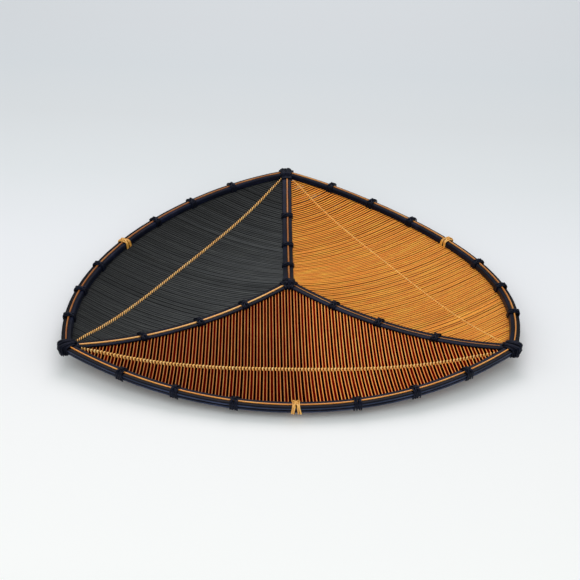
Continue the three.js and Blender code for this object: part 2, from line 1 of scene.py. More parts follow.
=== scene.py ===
"""Looks of a shallow three-cornered bamboo tray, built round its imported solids.

Sizes are in millimetres until a mesh is made. The tray's curves are the ones its solids follow: three
bowed rims, three sagging ribs, and between each pair of ribs a trough of fine split strips.
"""

import logging
import math
import random
from dataclasses import dataclass, replace
from enum import Enum
from functools import cached_property
from typing import Callable, ClassVar, Iterable, Optional, Sequence

import bpy
import numpy as np
from mathutils import Matrix, Vector


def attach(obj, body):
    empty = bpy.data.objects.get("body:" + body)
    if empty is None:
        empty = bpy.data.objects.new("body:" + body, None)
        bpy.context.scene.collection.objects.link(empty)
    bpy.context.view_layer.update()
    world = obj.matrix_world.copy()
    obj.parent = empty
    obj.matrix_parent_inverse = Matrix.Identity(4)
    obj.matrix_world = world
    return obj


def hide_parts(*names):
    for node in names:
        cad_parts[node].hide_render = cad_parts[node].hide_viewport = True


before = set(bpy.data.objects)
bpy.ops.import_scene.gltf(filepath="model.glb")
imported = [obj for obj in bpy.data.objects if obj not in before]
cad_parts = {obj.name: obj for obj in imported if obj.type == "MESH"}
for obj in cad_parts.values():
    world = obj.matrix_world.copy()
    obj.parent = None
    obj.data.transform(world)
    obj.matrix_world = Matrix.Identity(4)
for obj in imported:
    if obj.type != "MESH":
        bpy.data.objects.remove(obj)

LOG = logging.getLogger("tray")

MM = 0.001
# Top of the rims over the hub, from the middle of the tray's footprint.
ORIGIN = np.array([-3.556, -27.018, 29.934])
UP = np.array([0.0, 0.0, 1.0])
THIRD = math.radians(120.0)
COS_30, SIN_30, TAN_30 = math.cos(math.pi / 6), math.sin(math.pi / 6), math.tan(math.pi / 6)
# The way from the hub along the rib on a petal's left.
RAY = np.array([-COS_30, -SIN_30, 0.0])


def unit(vector: np.ndarray) -> np.ndarray:
    """The vector at length one."""
    return vector / np.linalg.norm(vector)


def units(vectors: np.ndarray) -> np.ndarray:
    """The vectors, each at length one."""
    return vectors / np.linalg.norm(vectors, axis=1)[:, None]


def spin(points: np.ndarray, angle: float) -> np.ndarray:
    """Turns points about Z.

    Args:
        points: One point or an array of them.
        angle: The turn in radians.

    Returns:
        The turned points.
    """
    c, s = math.cos(angle), math.sin(angle)
    return points @ np.array([[c, s, 0.0], [-s, c, 0.0], [0.0, 0.0, 1.0]])


# ---------------------------------------------------------------------------------------------
# The tray's curves


@dataclass(frozen=True)
class Station:
    """A place on a bundle: where its cap runs, the way along it and the way out across it."""

    at: np.ndarray
    along: np.ndarray
    out: np.ndarray
    lean: float = 0.0
    stretch: float = 1.0

    def place(self, u: float, w: float) -> np.ndarray:
        """The point u across, outwards, and w up from the top of the cap."""
        return self.at + self.out * (u * self.stretch + w * self.lean) + UP * w

    def turned(self, angle: float) -> "Station":
        """The same station turned about Z."""
        at, along, out = (spin(vector, angle) for vector in (self.at, self.along, self.out))
        return Station(at, along, out, self.lean, self.stretch)


@dataclass(frozen=True)
class TrayPlan:
    """Sizes that the whole tray shares, as its solids have them."""

    corner_span: float = 500.0
    rim_bow: float = 94.0
    rim_dip: float = 12.5
    rim_dip_power: float = 1.5
    hub_drop: float = 4.9
    rib_sag: float = 19.4
    belly_bow: float = 7.0
    belly_power: float = 3.0
    foot_clearance: float = 1.1
    rim_lean: float = math.tan(math.radians(10.0))
    cap_width: float = 2.7
    cap_proud: float = 0.9
    hoop_width: float = 4.0
    inner_height: float = 6.3
    outer_height: float = 8.5
    rib_cap_width: float = 2.9
    rib_cap_proud: float = 0.7
    flank_width: float = 4.6
    flank_height: float = 2.2
    rib_keel: float = 1.0
    strip_thickness: float = 1.5
    strand_width: float = 2.0
    strand_thickness: float = 0.9
    strand_space: float = 0.6
    gap: float = 0.3
    seat: float = 0.4

    @cached_property
    def half_span(self) -> float:
        """Half the distance between two corners."""
        return self.corner_span / 2

    @cached_property
    def chord_distance(self) -> float:
        """Distance from the hub to the line between two corners."""
        return self.half_span / math.sqrt(3)

    @cached_property
    def rib_length(self) -> float:
        """Distance from the hub to a corner."""
        return 2 * self.chord_distance

    @cached_property
    def rim_radius(self) -> float:
        """Radius of a rim in plan."""
        return (self.half_span**2 + self.rim_bow**2) / (2 * self.rim_bow)

    @cached_property
    def rim_half_angle(self) -> float:
        """Angle from the middle of a rim to its corner."""
        return math.asin(self.half_span / self.rim_radius)

    @cached_property
    def rim_half_length(self) -> float:
        """Length of a rim from its middle to a corner."""
        return self.rim_radius * self.rim_half_angle

    @cached_property
    def hoop_face(self) -> float:
        """Distance from a rim's middle line to the far face of either hoop."""
        return self.cap_width / 2 + self.gap + self.hoop_width

    @cached_property
    def flank_face(self) -> float:
        """Distance from a rib's middle line to the far face of a flank."""
        return self.rib_cap_width / 2 + self.gap + self.flank_width

    @cached_property
    def inner_bottom(self) -> float:
        """Underside of the inner hoop, from the top of the cap."""
        return -self.cap_proud - self.inner_height

    @cached_property
    def outer_bottom(self) -> float:
        """Underside of the outer hoop, from the top of the cap."""
        return -self.cap_proud - self.outer_height

    @cached_property
    def flank_bottom(self) -> float:
        """Underside of a rib's flanks, from the top of the cap."""
        return -self.rib_cap_proud - self.flank_height

    @cached_property
    def strip_top_rim(self) -> float:
        """Top of the strips under the inner hoop."""
        return self.inner_bottom - self.seat

    @cached_property
    def strip_top_rib(self) -> float:
        """Top of the strips under the flanks."""
        return self.flank_bottom - self.seat

    @cached_property
    def rib_cap_bottom(self) -> float:
        """Underside of a rib's core."""
        return self.strip_top_rib - self.strip_thickness - self.rib_keel

    @cached_property
    def strand_offset(self) -> float:
        """From what a strand lies on to its middle."""
        return self.seat + self.strand_thickness / 2

    @cached_property
    def level_margin(self) -> float:
        """How far the strips run level beyond a hoop or flank, for the bindings to pass."""
        slot = self.strand_thickness + 2 * self.seat
        return self.strand_offset + slot / 2 + self.gap

    def rim_point(self, skew: float, t: float) -> np.ndarray:
        """The middle of a rim's cap.

        Args:
            skew: How much the rim bows to one side.
            t: Place along the rim, -1 to 1 from corner to corner.

        Returns:
            The point, in the coordinates of a petal that faces -Y.
        """
        x = self.rim_radius * math.sin(t * self.rim_half_angle)
        bow = self.rim_radius * (math.cos(t * self.rim_half_angle) - math.cos(self.rim_half_angle))
        y = -self.chord_distance - bow * (1 + skew * x / self.half_span)
        z = -self.rim_dip * max(0.0, 1 - t * t) ** self.rim_dip_power
        return np.array([x, y, z])

    def rim_station(self, skew: float, t: float) -> Station:
        """The station of a rim.

        Args:
            skew: How much the rim bows to one side.
            t: Place along the rim, -1 to 1 from corner to corner.

        Returns:
            The station, in the coordinates of a petal that faces -Y.
        """
        step = 0.001
        along = unit(self.rim_point(skew, t + step) - self.rim_point(skew, t - step))
        out = unit(np.array([along[1], -along[0], 0.0]))
        return Station(self.rim_point(skew, t), along, out, self.rim_lean)

    def rib_height(self, distance: float) -> float:
        """Height of a rib's cap at a distance from the hub."""
        t = distance / self.rib_length
        return -self.hub_drop * (1 - t) - 4 * self.rib_sag * t * (1 - t)

    def rib_station(self, distance: float) -> Station:
        """The station of the rib on a petal's left.

        Args:
            distance: Along the rib, from the hub.

        Returns:
            The station, which doesn't lean.
        """
        at = RAY * distance + UP * self.rib_height(distance)
        rise = self.rib_height(distance + 0.5) - self.rib_height(distance - 0.5)
        return Station(at, unit(RAY + UP * rise), np.array([SIN_30, -COS_30, 0.0]))

    def rim_crossing(self, skew: float, x: float, u: float, w: float) -> np.ndarray:
        """Where a line along a rim has the given x.

        Args:
            skew: How much the rim bows to one side.
            x: The x, which may lie a little beyond the corners.
            u: The line's place across, outwards from the middle of the cap.
            w: Its place up from the top of the cap.

        Returns:
            The point, found by halving.
        """
        low, high = -1.2, 1.2
        for _ in range(30):
            middle = (low + high) / 2
            if self.rim_station(skew, middle).place(u, w)[0] < x:
                low = middle
            else:
                high = middle
        return self.rim_station(skew, low).place(u, w)

    def rib_crossing(self, x: float, v: float, w: float) -> np.ndarray:
        """Where the line at v across and w up along the nearer rib has the given x."""
        y = -(abs(x) * SIN_30 + v) / COS_30
        return np.array([x, y, self.rib_height(abs(x) * COS_30 - y * SIN_30) + w])

    @cached_property
    def belly_low(self) -> float:
        """Top of the strips at the lowest place of a trough.

        Returns:
            The height, with the strips a little below the bindings of a rib's lowest place.
        """
        low = min(self.rib_height(i / 100 * self.rib_length) for i in range(101))
        bottom = low + self.rib_cap_bottom - self.strand_offset - self.strand_thickness / 2
        return bottom - self.foot_clearance + self.strip_thickness


PLAN = TrayPlan()


class Rows(Enum):
    """Lines across a trough that each strip passes, from the outside in."""

    REACH = 0
    RIM = 1
    BELLY = 2
    RIB = 3
    TUCK = 4


@dataclass(frozen=True)
class Beading:
    """How much of a rim's bead, and of a rib's, shows between the black pieces beside it."""

    rim_half: float
    outer_drop: float
    rib_half: float
    rib_shift: float = 0.0
    rib_sink: float = 0.0
    space: float = 0.12


@dataclass(frozen=True)
class Petal:
    """One trough with its rim, drawn facing -Y and turned about Z; its rib is the one on its left."""

    name: str
    turn: float
    skew: float
    rib: str
    tie_shift: float
    tie_nudge: float
    sheets: tuple[str, ...]
    beading: Beading

    def to_tray(self, points: np.ndarray) -> np.ndarray:
        """Points of the petal in the tray's own frame."""
        return spin(points, self.turn) + ORIGIN

    @property
    def before(self) -> "Petal":
        """The petal on the other side of this one's rib."""
        return PETALS[(PETALS.index(self) + len(PETALS) - 1) % len(PETALS)]


PETALS = (
    Petal("front", 0.0, 0.05, "left", 4.0, 1.2, ("front_panel_left", "front_panel_right"),
          Beading(0.6, 0.0, 0.95)),
    Petal("right", THIRD, -0.21, "right", 1.0, 0.0, ("right_panel_front", "right_panel_back"),
          Beading(0.7, 1.1, 0.42, 0.85, 0.9)),
    Petal("left", -THIRD, -0.05, "back", 7.0, 0.0, ("left_panel",), Beading(0.7, 0.3, 1.0, -0.6)),
)


class Trough:
    """The hanging surface that one petal's strips lie on, kept as tables over x."""

    reach: ClassVar[float] = 248.0
    step: ClassVar[float] = 1.0

    def __init__(self, petal: Petal) -> None:
        """Samples the rows.

        Args:
            petal: The petal whose trough this is.
        """
        self.petal = petal
        self.x = np.arange(-self.reach, self.reach + self.step, self.step)
        self.table = np.array([self._rows_at(float(x)) for x in self.x])

    def _rows_at(self, x: float) -> list[tuple[float, float]]:
        """The rows at one x.

        Args:
            x: The place across the petal.

        Returns:
            The y and z of each row, in the order of Rows.
        """
        plan, skew = PLAN, self.petal.skew
        lean = plan.cap_width / 2 + plan.gap - plan.seat - plan.strip_thickness * plan.rim_lean
        reach = plan.rim_crossing(skew, x, lean, plan.strip_top_rim)
        rim = plan.rim_crossing(skew, x, -plan.hoop_face - plan.level_margin, plan.strip_top_rim)
        rib = plan.rib_crossing(x, plan.flank_face + plan.level_margin, plan.strip_top_rib)
        tuck = plan.rib_crossing(x, plan.rib_cap_width / 2 + plan.gap, plan.strip_top_rib)
        t = x / plan.half_span
        y = -plan.chord_distance - plan.belly_bow * (1 - t * t)
        share = (y - rib[1]) / (rim[1] - rib[1])
        straight = rib[2] + share * (rim[2] - rib[2])
        z = min(straight, plan.belly_low * (1 - abs(t) ** plan.belly_power))
        return [(reach[1], reach[2]), (rim[1], rim[2]), (y, z), (rib[1], rib[2]), (tuck[1], tuck[2])]

    def row(self, row: Rows, x: float | np.ndarray) -> tuple[np.ndarray, np.ndarray]:
        """The y and z of a row at x."""
        ys, zs = self.table[:, row.value].T
        return np.interp(x, self.x, ys), np.interp(x, self.x, zs)

    def height(self, x: np.ndarray, y: np.ndarray) -> np.ndarray:
        """Height of the strips' tops.

        Args:
            x: Places across the petal.
            y: Places from the hub outwards, between the rim's row and the rib's.

        Returns:
            The heights, on a parabola through the rim's, the belly's and the rib's rows.
        """
        (y0, z0), (y1, z1), (y2, z2) = (self.row(r, x) for r in (Rows.RIM, Rows.BELLY, Rows.RIB))
        a = (y - y1) * (y - y2) / ((y0 - y1) * (y0 - y2))
        b = (y - y0) * (y - y2) / ((y1 - y0) * (y1 - y2))
        c = (y - y0) * (y - y1) / ((y2 - y0) * (y2 - y1))
        return a * z0 + b * z1 + c * z2


# ---------------------------------------------------------------------------------------------
# Finishes


Tree = bpy.types.NodeTree
Socket = bpy.types.NodeSocket
Colour = tuple[float, float, float, float]


def linear(colour: str) -> Colour:
    """Turns an sRGB hex colour to linear.

    Args:
        colour: Such as "#c98a3e".

    Returns:
        Red, green, blue and an alpha of one.
    """
    values = [int(colour[i : i + 2], 16) / 255 for i in (1, 3, 5)]
    r, g, b = (v / 12.92 if v <= 0.04045 else ((v + 0.055) / 1.055) ** 2.4 for v in values)
    return (r, g, b, 1.0)


def add_node(tree: Tree, kind: str, links: Optional[dict] = None, **settings: str) -> bpy.types.Node:
    """Adds a node with its settings and links.

    Args:
        tree: The node tree.
        kind: The node's type name.
        links: Values or output sockets by input name or number.
        settings: Attributes of the node.

    Returns:
        The node.
    """
    node = tree.nodes.new(kind)
    for key, value in settings.items():
        setattr(node, key, value)
    for key, value in (links or {}).items():
        if isinstance(value, bpy.types.NodeSocket):
            tree.links.new(value, node.inputs[key])
        else:
            node.inputs[key].default_value = value
    return node


def fresh_tree(owner: bpy.types.Material | bpy.types.World) -> Tree:
    """An empty node tree on a material or a world.

    Args:
        owner: The material or world.

    Returns:
        Its tree.
    """
    owner.use_nodes = True
    owner.node_tree.nodes.clear()
    return owner.node_tree


def remap(
    tree: Tree, value: Socket, low: float, high: float, first: float = 0.0, last: float = 1.0
) -> Socket:
    """Maps a value from one range to another, and holds it there.

    Args:
        tree: The node tree.
        value: The value.
        low: Where the first range starts.
        high: Where it ends.
        first: What its start becomes.
        last: What its end becomes.

    Returns:
        The mapped value.
    """
    ranges = {1: low, 2: high, 3: first, 4: last}
    return add_node(tree, "ShaderNodeMapRange", {0: value, **ranges}).outputs[0]


def maths(tree: Tree, operation: str, first: Socket, second: Socket | float = 0.0) -> Socket:
    """One sum with one or two values."""
    return add_node(tree, "ShaderNodeMath", {0: first, 1: second}, operation=operation).outputs[0]


def mix(tree: Tree, share: Socket, first: Socket | Colour, second: Socket | Colour) -> Socket:
    """A colour between two, by a share."""
    return add_node(tree, "ShaderNodeMix", {0: share, 6: first, 7: second}, data_type="RGBA").outputs[2]


def noise(tree: Tree, place: Socket, scale: float, detail: float, roughness: float) -> Socket:
    """Noise from 0 to 1.

    Args:
        tree: The node tree.
        place: Where it is read.
        scale: Its scale.
        detail: Its detail.
        roughness: Its roughness.

    Returns:
        The noise.
    """
    return add_node(tree, "ShaderNodeTexNoise", {
        "Vector": place, "Scale": scale, "Detail": detail, "Roughness": roughness,
    }).outputs[0]


@dataclass(frozen=True)
class Grain:
    """A material's fibres: how wide and long each is, and how far it stands up."""

    width: float
    length: float
    relief: float


# How far the place where noise is read moves, for each metre across and along and for a whole tone.
PATCH_SCALES = (60.0, 28.0, 19.0)
FIBRE_TONE_STEP = 37.0
# The same for the place of the rings, in spacings.
RING_TONE_STEP = 13.7
# In millimetres.
RING_WIDTH = 1.1
# How softly the painted shade on a strip's sides starts, also in millimetres.
GAP_SHADE_BLUR = 0.25
# How much rougher the shade between the fibres is, and how much smoother the fibres are.
ROUGHNESS_SWING = 0.07


@dataclass(frozen=True)
class SplitBamboo:
    """Split bamboo or rattan peel: straight fibres along each piece, a tone of its own for each piece,
    and a satin skin. The fibres and the tone come from the lay that each mesh keeps: how far across and
    along the piece, in metres, and its tone.
    """

    name: str
    colour: str
    shade: str
    glow: str
    spread: float
    grain: Grain
    roughness: float
    gloss: float
    # Where a strip's sides start, measured from its crown, and the painted shade on them, which stands
    # in for the shade in the gaps between strips.
    edge: float = 0.0
    painted_gap_shade: str = "#000000"
    ring_spacing: float = 0.0
    ring_shade: str = "#000000"
    # Worn lacquer with painted glint on the sharpest edges: how much, and its colour.
    wear_and_glint: float = 0.0
    wear_and_glint_colour: str = "#6a6076"
    gloss_tint: str = "#ffffff"
    # Painted sheen along a piece: where it starts and ends, in millimetres, and how bright it is at
    # either end.
    painted_sheen_ramp: Optional[tuple[float, float, float, float]] = None

    def build(self) -> bpy.types.Material:
        """Makes the material.

        Returns:
            The material.
        """
        material = bpy.data.materials.new(self.name)
        tree = fresh_tree(material)
        lay = add_node(tree, "ShaderNodeAttribute", attribute_name="lay").outputs["Vector"]
        lays = tuple(add_node(tree, "ShaderNodeSeparateXYZ", {0: lay}).outputs)
        scales = (1 / (MM * self.grain.width), 1 / (MM * self.grain.length), FIBRE_TONE_STEP)
        fibres = noise(tree, self._place(tree, lays, scales), 1.0, 3.0, 0.6)
        body = self._marked(tree, lays, self._body(tree, lays, fibres))
        smooth, rough = self.roughness - ROUGHNESS_SWING, self.roughness + ROUGHNESS_SWING
        bump = add_node(tree, "ShaderNodeBump", {
            "Height": fibres, "Strength": 0.6, "Distance": self.grain.relief * MM,
        })
        shader = add_node(tree, "ShaderNodeBsdfPrincipled", {
            "Base Color": body, "Roughness": remap(tree, fibres, 0.3, 0.7, rough, smooth),
            "Normal": bump.outputs[0], "IOR": 1.5,
            "Specular IOR Level": self.gloss, "Specular Tint": linear(self.gloss_tint),
        })
        add_node(tree, "ShaderNodeOutputMaterial", {"Surface": shader.outputs[0]})
        return material

    @staticmethod
    def _place(tree: Tree, lays: Sequence[Socket], scales: Sequence[float]) -> Socket:
        """The lay, each part of it times a scale."""
        scaled = [maths(tree, "MULTIPLY", lay, scale) for lay, scale in zip(lays, scales)]
        return add_node(tree, "ShaderNodeCombineXYZ", dict(enumerate(scaled))).outputs[0]

    @staticmethod
    def _dimmed(tree: Tree, colour: Socket, share: Socket) -> Socket:
        """The colour times a share."""
        links = {0: colour, "Scale": share}
        return add_node(tree, "ShaderNodeVectorMath", links, operation="SCALE").outputs[0]

    def _body(self, tree: Tree, lays: Sequence[Socket], fibres: Socket) -> Socket:
        """The colour of the fibres, in the piece's own tone, with any painted sheen along it.

        Args:
            tree: The node tree.
            lays: How far across and along the piece, and its tone.
            fibres: The fibres' noise.

        Returns:
            The colour, at most 1 in each channel.
        """
        _, along, tone = lays
        patches = noise(tree, self._place(tree, lays, PATCH_SCALES), 1.0, 2.0, 0.5)
        body = mix(tree, remap(tree, fibres, 0.32, 0.68), linear(self.shade), linear(self.colour))
        body = mix(tree, remap(tree, patches, 0.45, 0.75, 0.0, 0.55), body, linear(self.glow))
        own = remap(tree, tone, 0.0, 1.0, 1.0 - self.spread, 1.0 + self.spread)
        body = self._dimmed(tree, body, own)
        # Painted sheen: darker at the piece's start and lighter further along it.
        if self.painted_sheen_ramp:
            near, far, first, last = self.painted_sheen_ramp
            body = self._dimmed(tree, body, remap(tree, along, near * MM, far * MM, first, last))
        links = {0: body, 1: (1.0, 1.0, 1.0)}
        return add_node(tree, "ShaderNodeVectorMath", links, operation="MINIMUM").outputs[0]

    def _marked(self, tree: Tree, lays: Sequence[Socket], body: Socket) -> Socket:
        """The colour with the finish's painted edge shade, its rings, and its worn lacquer with painted
        glint over it.

        Args:
            tree: The node tree.
            lays: How far across and along the piece, and its tone.
            body: The colour without them.

        Returns:
            The colour.
        """
        across, along, tone = lays
        # Painted shade on a strip's sides, for the shade in the gaps beside it.
        if self.edge:
            off = maths(tree, "ABSOLUTE", across)
            split = remap(tree, off, self.edge * MM, (self.edge + GAP_SHADE_BLUR) * MM)
            body = mix(tree, split, body, linear(self.painted_gap_shade))
        if self.ring_spacing:
            body = mix(tree, self._rings(tree, along, tone), body, linear(self.ring_shade))
        if self.wear_and_glint:
            body = mix(tree, self._scuffs_and_glint(tree), body, linear(self.wear_and_glint_colour))
        return body

    def _rings(self, tree: Tree, along: Socket, tone: Socket) -> Socket:
        """Faint rings where the culm's nodes were, at a place of its own on each piece.

        Args:
            tree: The node tree.
            along: How far along the piece.
            tone: The piece's tone.

        Returns:
            How much of a ring there is.
        """
        turns = maths(tree, "MULTIPLY", along, 1 / (MM * self.ring_spacing))
        shifted = maths(tree, "ADD", turns, maths(tree, "MULTIPLY", tone, RING_TONE_STEP))
        off = maths(tree, "SUBTRACT", maths(tree, "FRACT", shifted), 0.5)
        width = RING_WIDTH / self.ring_spacing
        return remap(tree, maths(tree, "ABSOLUTE", off), width, width * 2.2, 0.2, 0.0)

    def _scuffs_and_glint(self, tree: Tree) -> Socket:
        """Scuffed places on the edges that stand out, where the lacquer is thin, with painted glint on
        those edges.

        Args:
            tree: The node tree.

        Returns:
            How much worn lacquer and painted glint a place has.
        """
        place = add_node(tree, "ShaderNodeTexCoord").outputs["Object"]
        spots = remap(tree, noise(tree, place, 90.0, 4.0, 0.7), 0.56, 0.72, 0.0, self.wear_and_glint)
        # Painted glint: the lighter colour goes on the sharpest edges.
        edges = add_node(tree, "ShaderNodeNewGeometry").outputs["Pointiness"]
        return maths(tree, "MULTIPLY", remap(tree, edges, 0.5, 0.62), spots)


HOOP_GRAIN = Grain(0.25, 30.0, 0.05)
STRAND_GRAIN = Grain(0.3, 25.0, 0.05)
SMOKED_GRAIN = Grain(0.3, 40.0, 0.04)
STRIP_GRAIN = Grain(0.35, 45.0, 0.04)
BEAD_GRAIN = Grain(0.3, 35.0, 0.03)
PEEL_GRAIN = Grain(0.3, 20.0, 0.05)
COLD_GLOSS = "#c8ceff"


class Finish(Enum):
    """The tray's finishes. Each is split bamboo or rattan, and its value says how it is made: a name, a
    colour, the shade between its fibres, the glow of its patches, how far the tones of its pieces
    spread, a grain, a roughness and a gloss. Some add where the painted shade on their sides starts and
    its colour, standing in for the shade in the gaps between strips, and the spacing and shade of their
    rings.
    """

    # Smoked bamboo under black lacquer: nearly black, with a bluish satin light on its rounds, and worn
    # lacquer with painted glint on its sharp edges.
    BLACK_HOOP = SplitBamboo("smoked_bamboo_lacquered", "#0b0e1a", "#06070e", "#141a30", 0.35,
                             HOOP_GRAIN, 0.36, 0.12, wear_and_glint=0.5, gloss_tint=COLD_GLOSS)
    # The fine splints of an outer hoop: the same lacquer, painted lighter for the light on its outer
    # face, lighter and darker by turns for painted highlight lines, and worn with painted glint on sharp
    # edges.
    BLACK_SPLINT = SplitBamboo("smoked_bamboo_splint", "#262b3c", "#161a26", "#3a4058", 1.7,
                               HOOP_GRAIN, 0.34, 0.14, wear_and_glint=0.5, gloss_tint="#ccd2ff")
    # The same lacquer over rattan peel: a softer, duller black.
    BLACK_STRAND = SplitBamboo("rattan_peel_lacquered", "#0a0d18", "#06070d", "#12182a", 0.3,
                               STRAND_GRAIN, 0.4, 0.16, gloss_tint=COLD_GLOSS)
    # Smoked bamboo strips without lacquer: a matt charcoal with painted sheen, darker towards the outer
    # end and lighter towards the rib, and painted shade on the strips' sides.
    SMOKED_STRIP = SplitBamboo("smoked_bamboo_strip", "#4a4b4d", "#3a3b3d", "#575857", 0.3,
                               SMOKED_GRAIN, 0.6, 0.08, 0.62, "#0e0e0f",
                               painted_sheen_ramp=(20.0, 170.0, 0.5, 1.06))
    # The packing between pairs of smoked strips: a black strip under each gap, whose colour paints the
    # shade in the gap.
    SMOKED_PACKING = SplitBamboo("smoked_bamboo_packing", "#181819", "#101011", "#202020", 0.3,
                                 SMOKED_GRAIN, 0.8, 0.03)
    # Old natural bamboo, turned amber: glossy outer skin, straight pale and orange fibres, and painted
    # shade on the strips' sides.
    AMBER_STRIP = SplitBamboo("amber_bamboo_strip", "#f39e3c", "#e48434", "#fcc850", 0.13,
                              STRIP_GRAIN, 0.42, 0.16, 0.6, "#702800", 190.0, "#a0561c")
    # The packing between pairs of amber strips: a dark brown strip under each gap, whose colour paints
    # the shade in the gap.
    AMBER_PACKING = SplitBamboo("amber_bamboo_packing", "#341000", "#200800", "#441800", 0.3,
                                STRIP_GRAIN, 0.8, 0.02)
    # The front's natural strips, which are narrower; lighter towards the right, painting the light that
    # falls from the left, and with painted shade on their sides.
    PALE_STRIP = SplitBamboo("pale_bamboo_strip", "#f49844", "#d4722c", "#feb45c", 0.4,
                             STRIP_GRAIN, 0.42, 0.4, 0.46, "#501400", 190.0, "#7c4822")
    # Bamboo stained with dark red lacquer, with painted shade on its sides.
    RED_STRIP = SplitBamboo("red_lacquered_strip", "#580000", "#340000", "#720200", 0.35,
                            STRIP_GRAIN, 0.7, 0.0, 1.15, "#120000")
    # Bamboo stained a reddish black, between the others.
    BLACK_STRIP = SplitBamboo("black_lacquered_strip", "#120101", "#0a0000", "#1a0202", 0.2,
                              STRIP_GRAIN, 0.7, 0.0)
    # The beads on the rims and ribs: whole rattan core, honey-brown, smooth and glossy.
    BEAD = SplitBamboo("honey_rattan_bead", "#fca042", "#dc8632", "#ffc062", 0.12,
                       BEAD_GRAIN, 0.28, 0.8)
    # The same bead in lit and shaded copies: painted highlight where it runs across the view and catches
    # the light, and painted shade in two steps where it runs away from the view.
    PALE_BEAD = SplitBamboo("pale_rattan_bead", "#ffb85a", "#f49c40", "#ffd67c", 0.1,
                            BEAD_GRAIN, 0.28, 1.0)
    AMBER_BEAD = SplitBamboo("amber_rattan_bead", "#d48838", "#a85e26", "#f0ac54", 0.14,
                             BEAD_GRAIN, 0.3, 0.6)
    RUSSET_BEAD = SplitBamboo("russet_rattan_bead", "#b06c30", "#84441c", "#d08c48", 0.16,
                              BEAD_GRAIN, 0.34, 0.4)
    # Fresh rattan peel of the front twining: pale gold and glossy.
    GOLD_PEEL = SplitBamboo("gold_rattan_peel", "#ffd074", "#faa648", "#ffe8a4", 0.06,
                            PEEL_GRAIN, 0.3, 0.8)
    # The same peel where it is duller: the twining of the natural sheet.
    AMBER_PEEL = SplitBamboo("amber_rattan_peel", "#ffc468", "#f4a84c", "#ffe094", 0.15,
                             PEEL_GRAIN, 0.4, 0.5)
    # The rattan peel of the natural ties, which has darkened with age.
    TIE_PEEL = SplitBamboo("natural_rattan_tie", "#e8a846", "#c47e2a", "#ffce74", 0.1,
                           PEEL_GRAIN, 0.3, 0.7)
    # Fresh rattan peel of the left twining, a little deeper than the front's.
    HONEY_PEEL = SplitBamboo("honey_rattan_peel", "#ffc868", "#f69e42", "#ffe8a4", 0.1,
                             PEEL_GRAIN, 0.26, 1.0)

    @property
    def material(self) -> bpy.types.Material:
        """This finish's material, made once."""
        made = bpy.data.materials.get(self.value.name)
        return made or self.value.build()


# ---------------------------------------------------------------------------------------------
# Meshes


class Draft:
    """Gathers the closed bars of one piece, with the lay of their fibres, and makes its mesh."""

    def __init__(self, name: str) -> None:
        """Starts an empty piece.

        Args:
            name: The piece's name.
        """
        self.name = name
        self.points: list[np.ndarray] = []
        self.lays: list[np.ndarray] = []
        self.faces: list[list[int]] = []
        self.count = 0

    def add_bar(self, rings: np.ndarray, tone: float, crown: int = 0) -> None:
        """Adds one closed bar.

        Args:
            rings: Its section points, ring by ring, as (rings, points, 3).
            tone: The share from 0 to 1 that its finish varies with.
            crown: The section point that the lay across it is measured from.
        """
        length, around, _ = rings.shape
        middle = rings.mean(axis=1)
        run = np.concatenate([[0.0], np.cumsum(np.linalg.norm(np.diff(middle, axis=0), axis=1))])
        edge = np.linalg.norm(np.diff(rings[length // 2], axis=0), axis=1)
        side = np.concatenate([[0.0], np.cumsum(edge)])
        side -= side[crown]
        lay = np.empty((length, around, 3))
        lay[:, :, 0] = side[None, :] * MM
        lay[:, :, 1] = run[:, None] * MM
        lay[:, :, 2] = tone
        i, j = np.meshgrid(np.arange(length - 1), np.arange(around), indexing="ij")
        a = self.count + i * around + j
        b = self.count + i * around + (j + 1) % around
        quads = np.stack([a, b, b + around, a + around], axis=-1).reshape(-1, 4)
        start = list(range(self.count, self.count + around))
        end = [k + (length - 1) * around for k in start]
        one = rings[0] - middle[0]
        turned = np.cross(one, np.roll(one, -1, axis=0)).sum(axis=0)
        if np.dot(turned, middle[1] - middle[0]) < 0:
            quads = quads[:, ::-1]
            end.reverse()
        else:
            start.reverse()
        self.points.append(rings.reshape(-1, 3))
        self.lays.append(lay.reshape(-1, 3))
        self.faces += quads.tolist() + [start, end]
        self.count += length * around

    def make(self, petal: Petal, finish: Finish, slot: str, nodes: Iterable[str]) -> bpy.types.Object:
        """Makes the piece and puts it on the tray.

        Args:
            petal: Whose coordinates the bars are in.
            finish: Its finish.
            slot: The record's material slot. Not used.
            nodes: The solids that it stands for.

        Returns:
            The piece.
        """
        points = petal.to_tray(np.concatenate(self.points)) * MM
        mesh = bpy.data.meshes.new(self.name)
        mesh.from_pydata(points.tolist(), [], self.faces)
        mesh.polygons.foreach_set("use_smooth", [True] * len(mesh.polygons))
        mesh.set_sharp_from_angle(angle=math.radians(55.0))
        lay = mesh.attributes.new("lay", "FLOAT_VECTOR", "POINT")
        lay.data.foreach_set("vector", np.concatenate(self.lays).astype(np.float32).ravel())
        mesh.materials.append(finish.material)
        piece = bpy.data.objects.new(self.name, mesh)
        bpy.context.scene.collection.objects.link(piece)
        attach(piece, "root")
        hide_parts(*nodes)
        LOG.info("%s: %d vertices, %d faces", self.name, len(points), len(self.faces))
        return piece


SQUARE = ((-0.5, -0.5), (0.5, -0.5), (0.5, 0.5), (-0.5, 0.5))


def bend_points(corner: np.ndarray, before: np.ndarray, after: np.ndarray, steps: int) -> np.ndarray:
    """The points of a rounded bend.

    Args:
        corner: The corner that it rounds.
        before: From the corner to where the bend starts.
        after: From the corner to where it ends.
        steps: Points on the bend, less one.

    Returns:
        The points.
    """
    s = np.linspace(0.0, 1.0, steps + 1)[:, None]
    return corner + (1 - s) ** 2 * before + s**2 * after


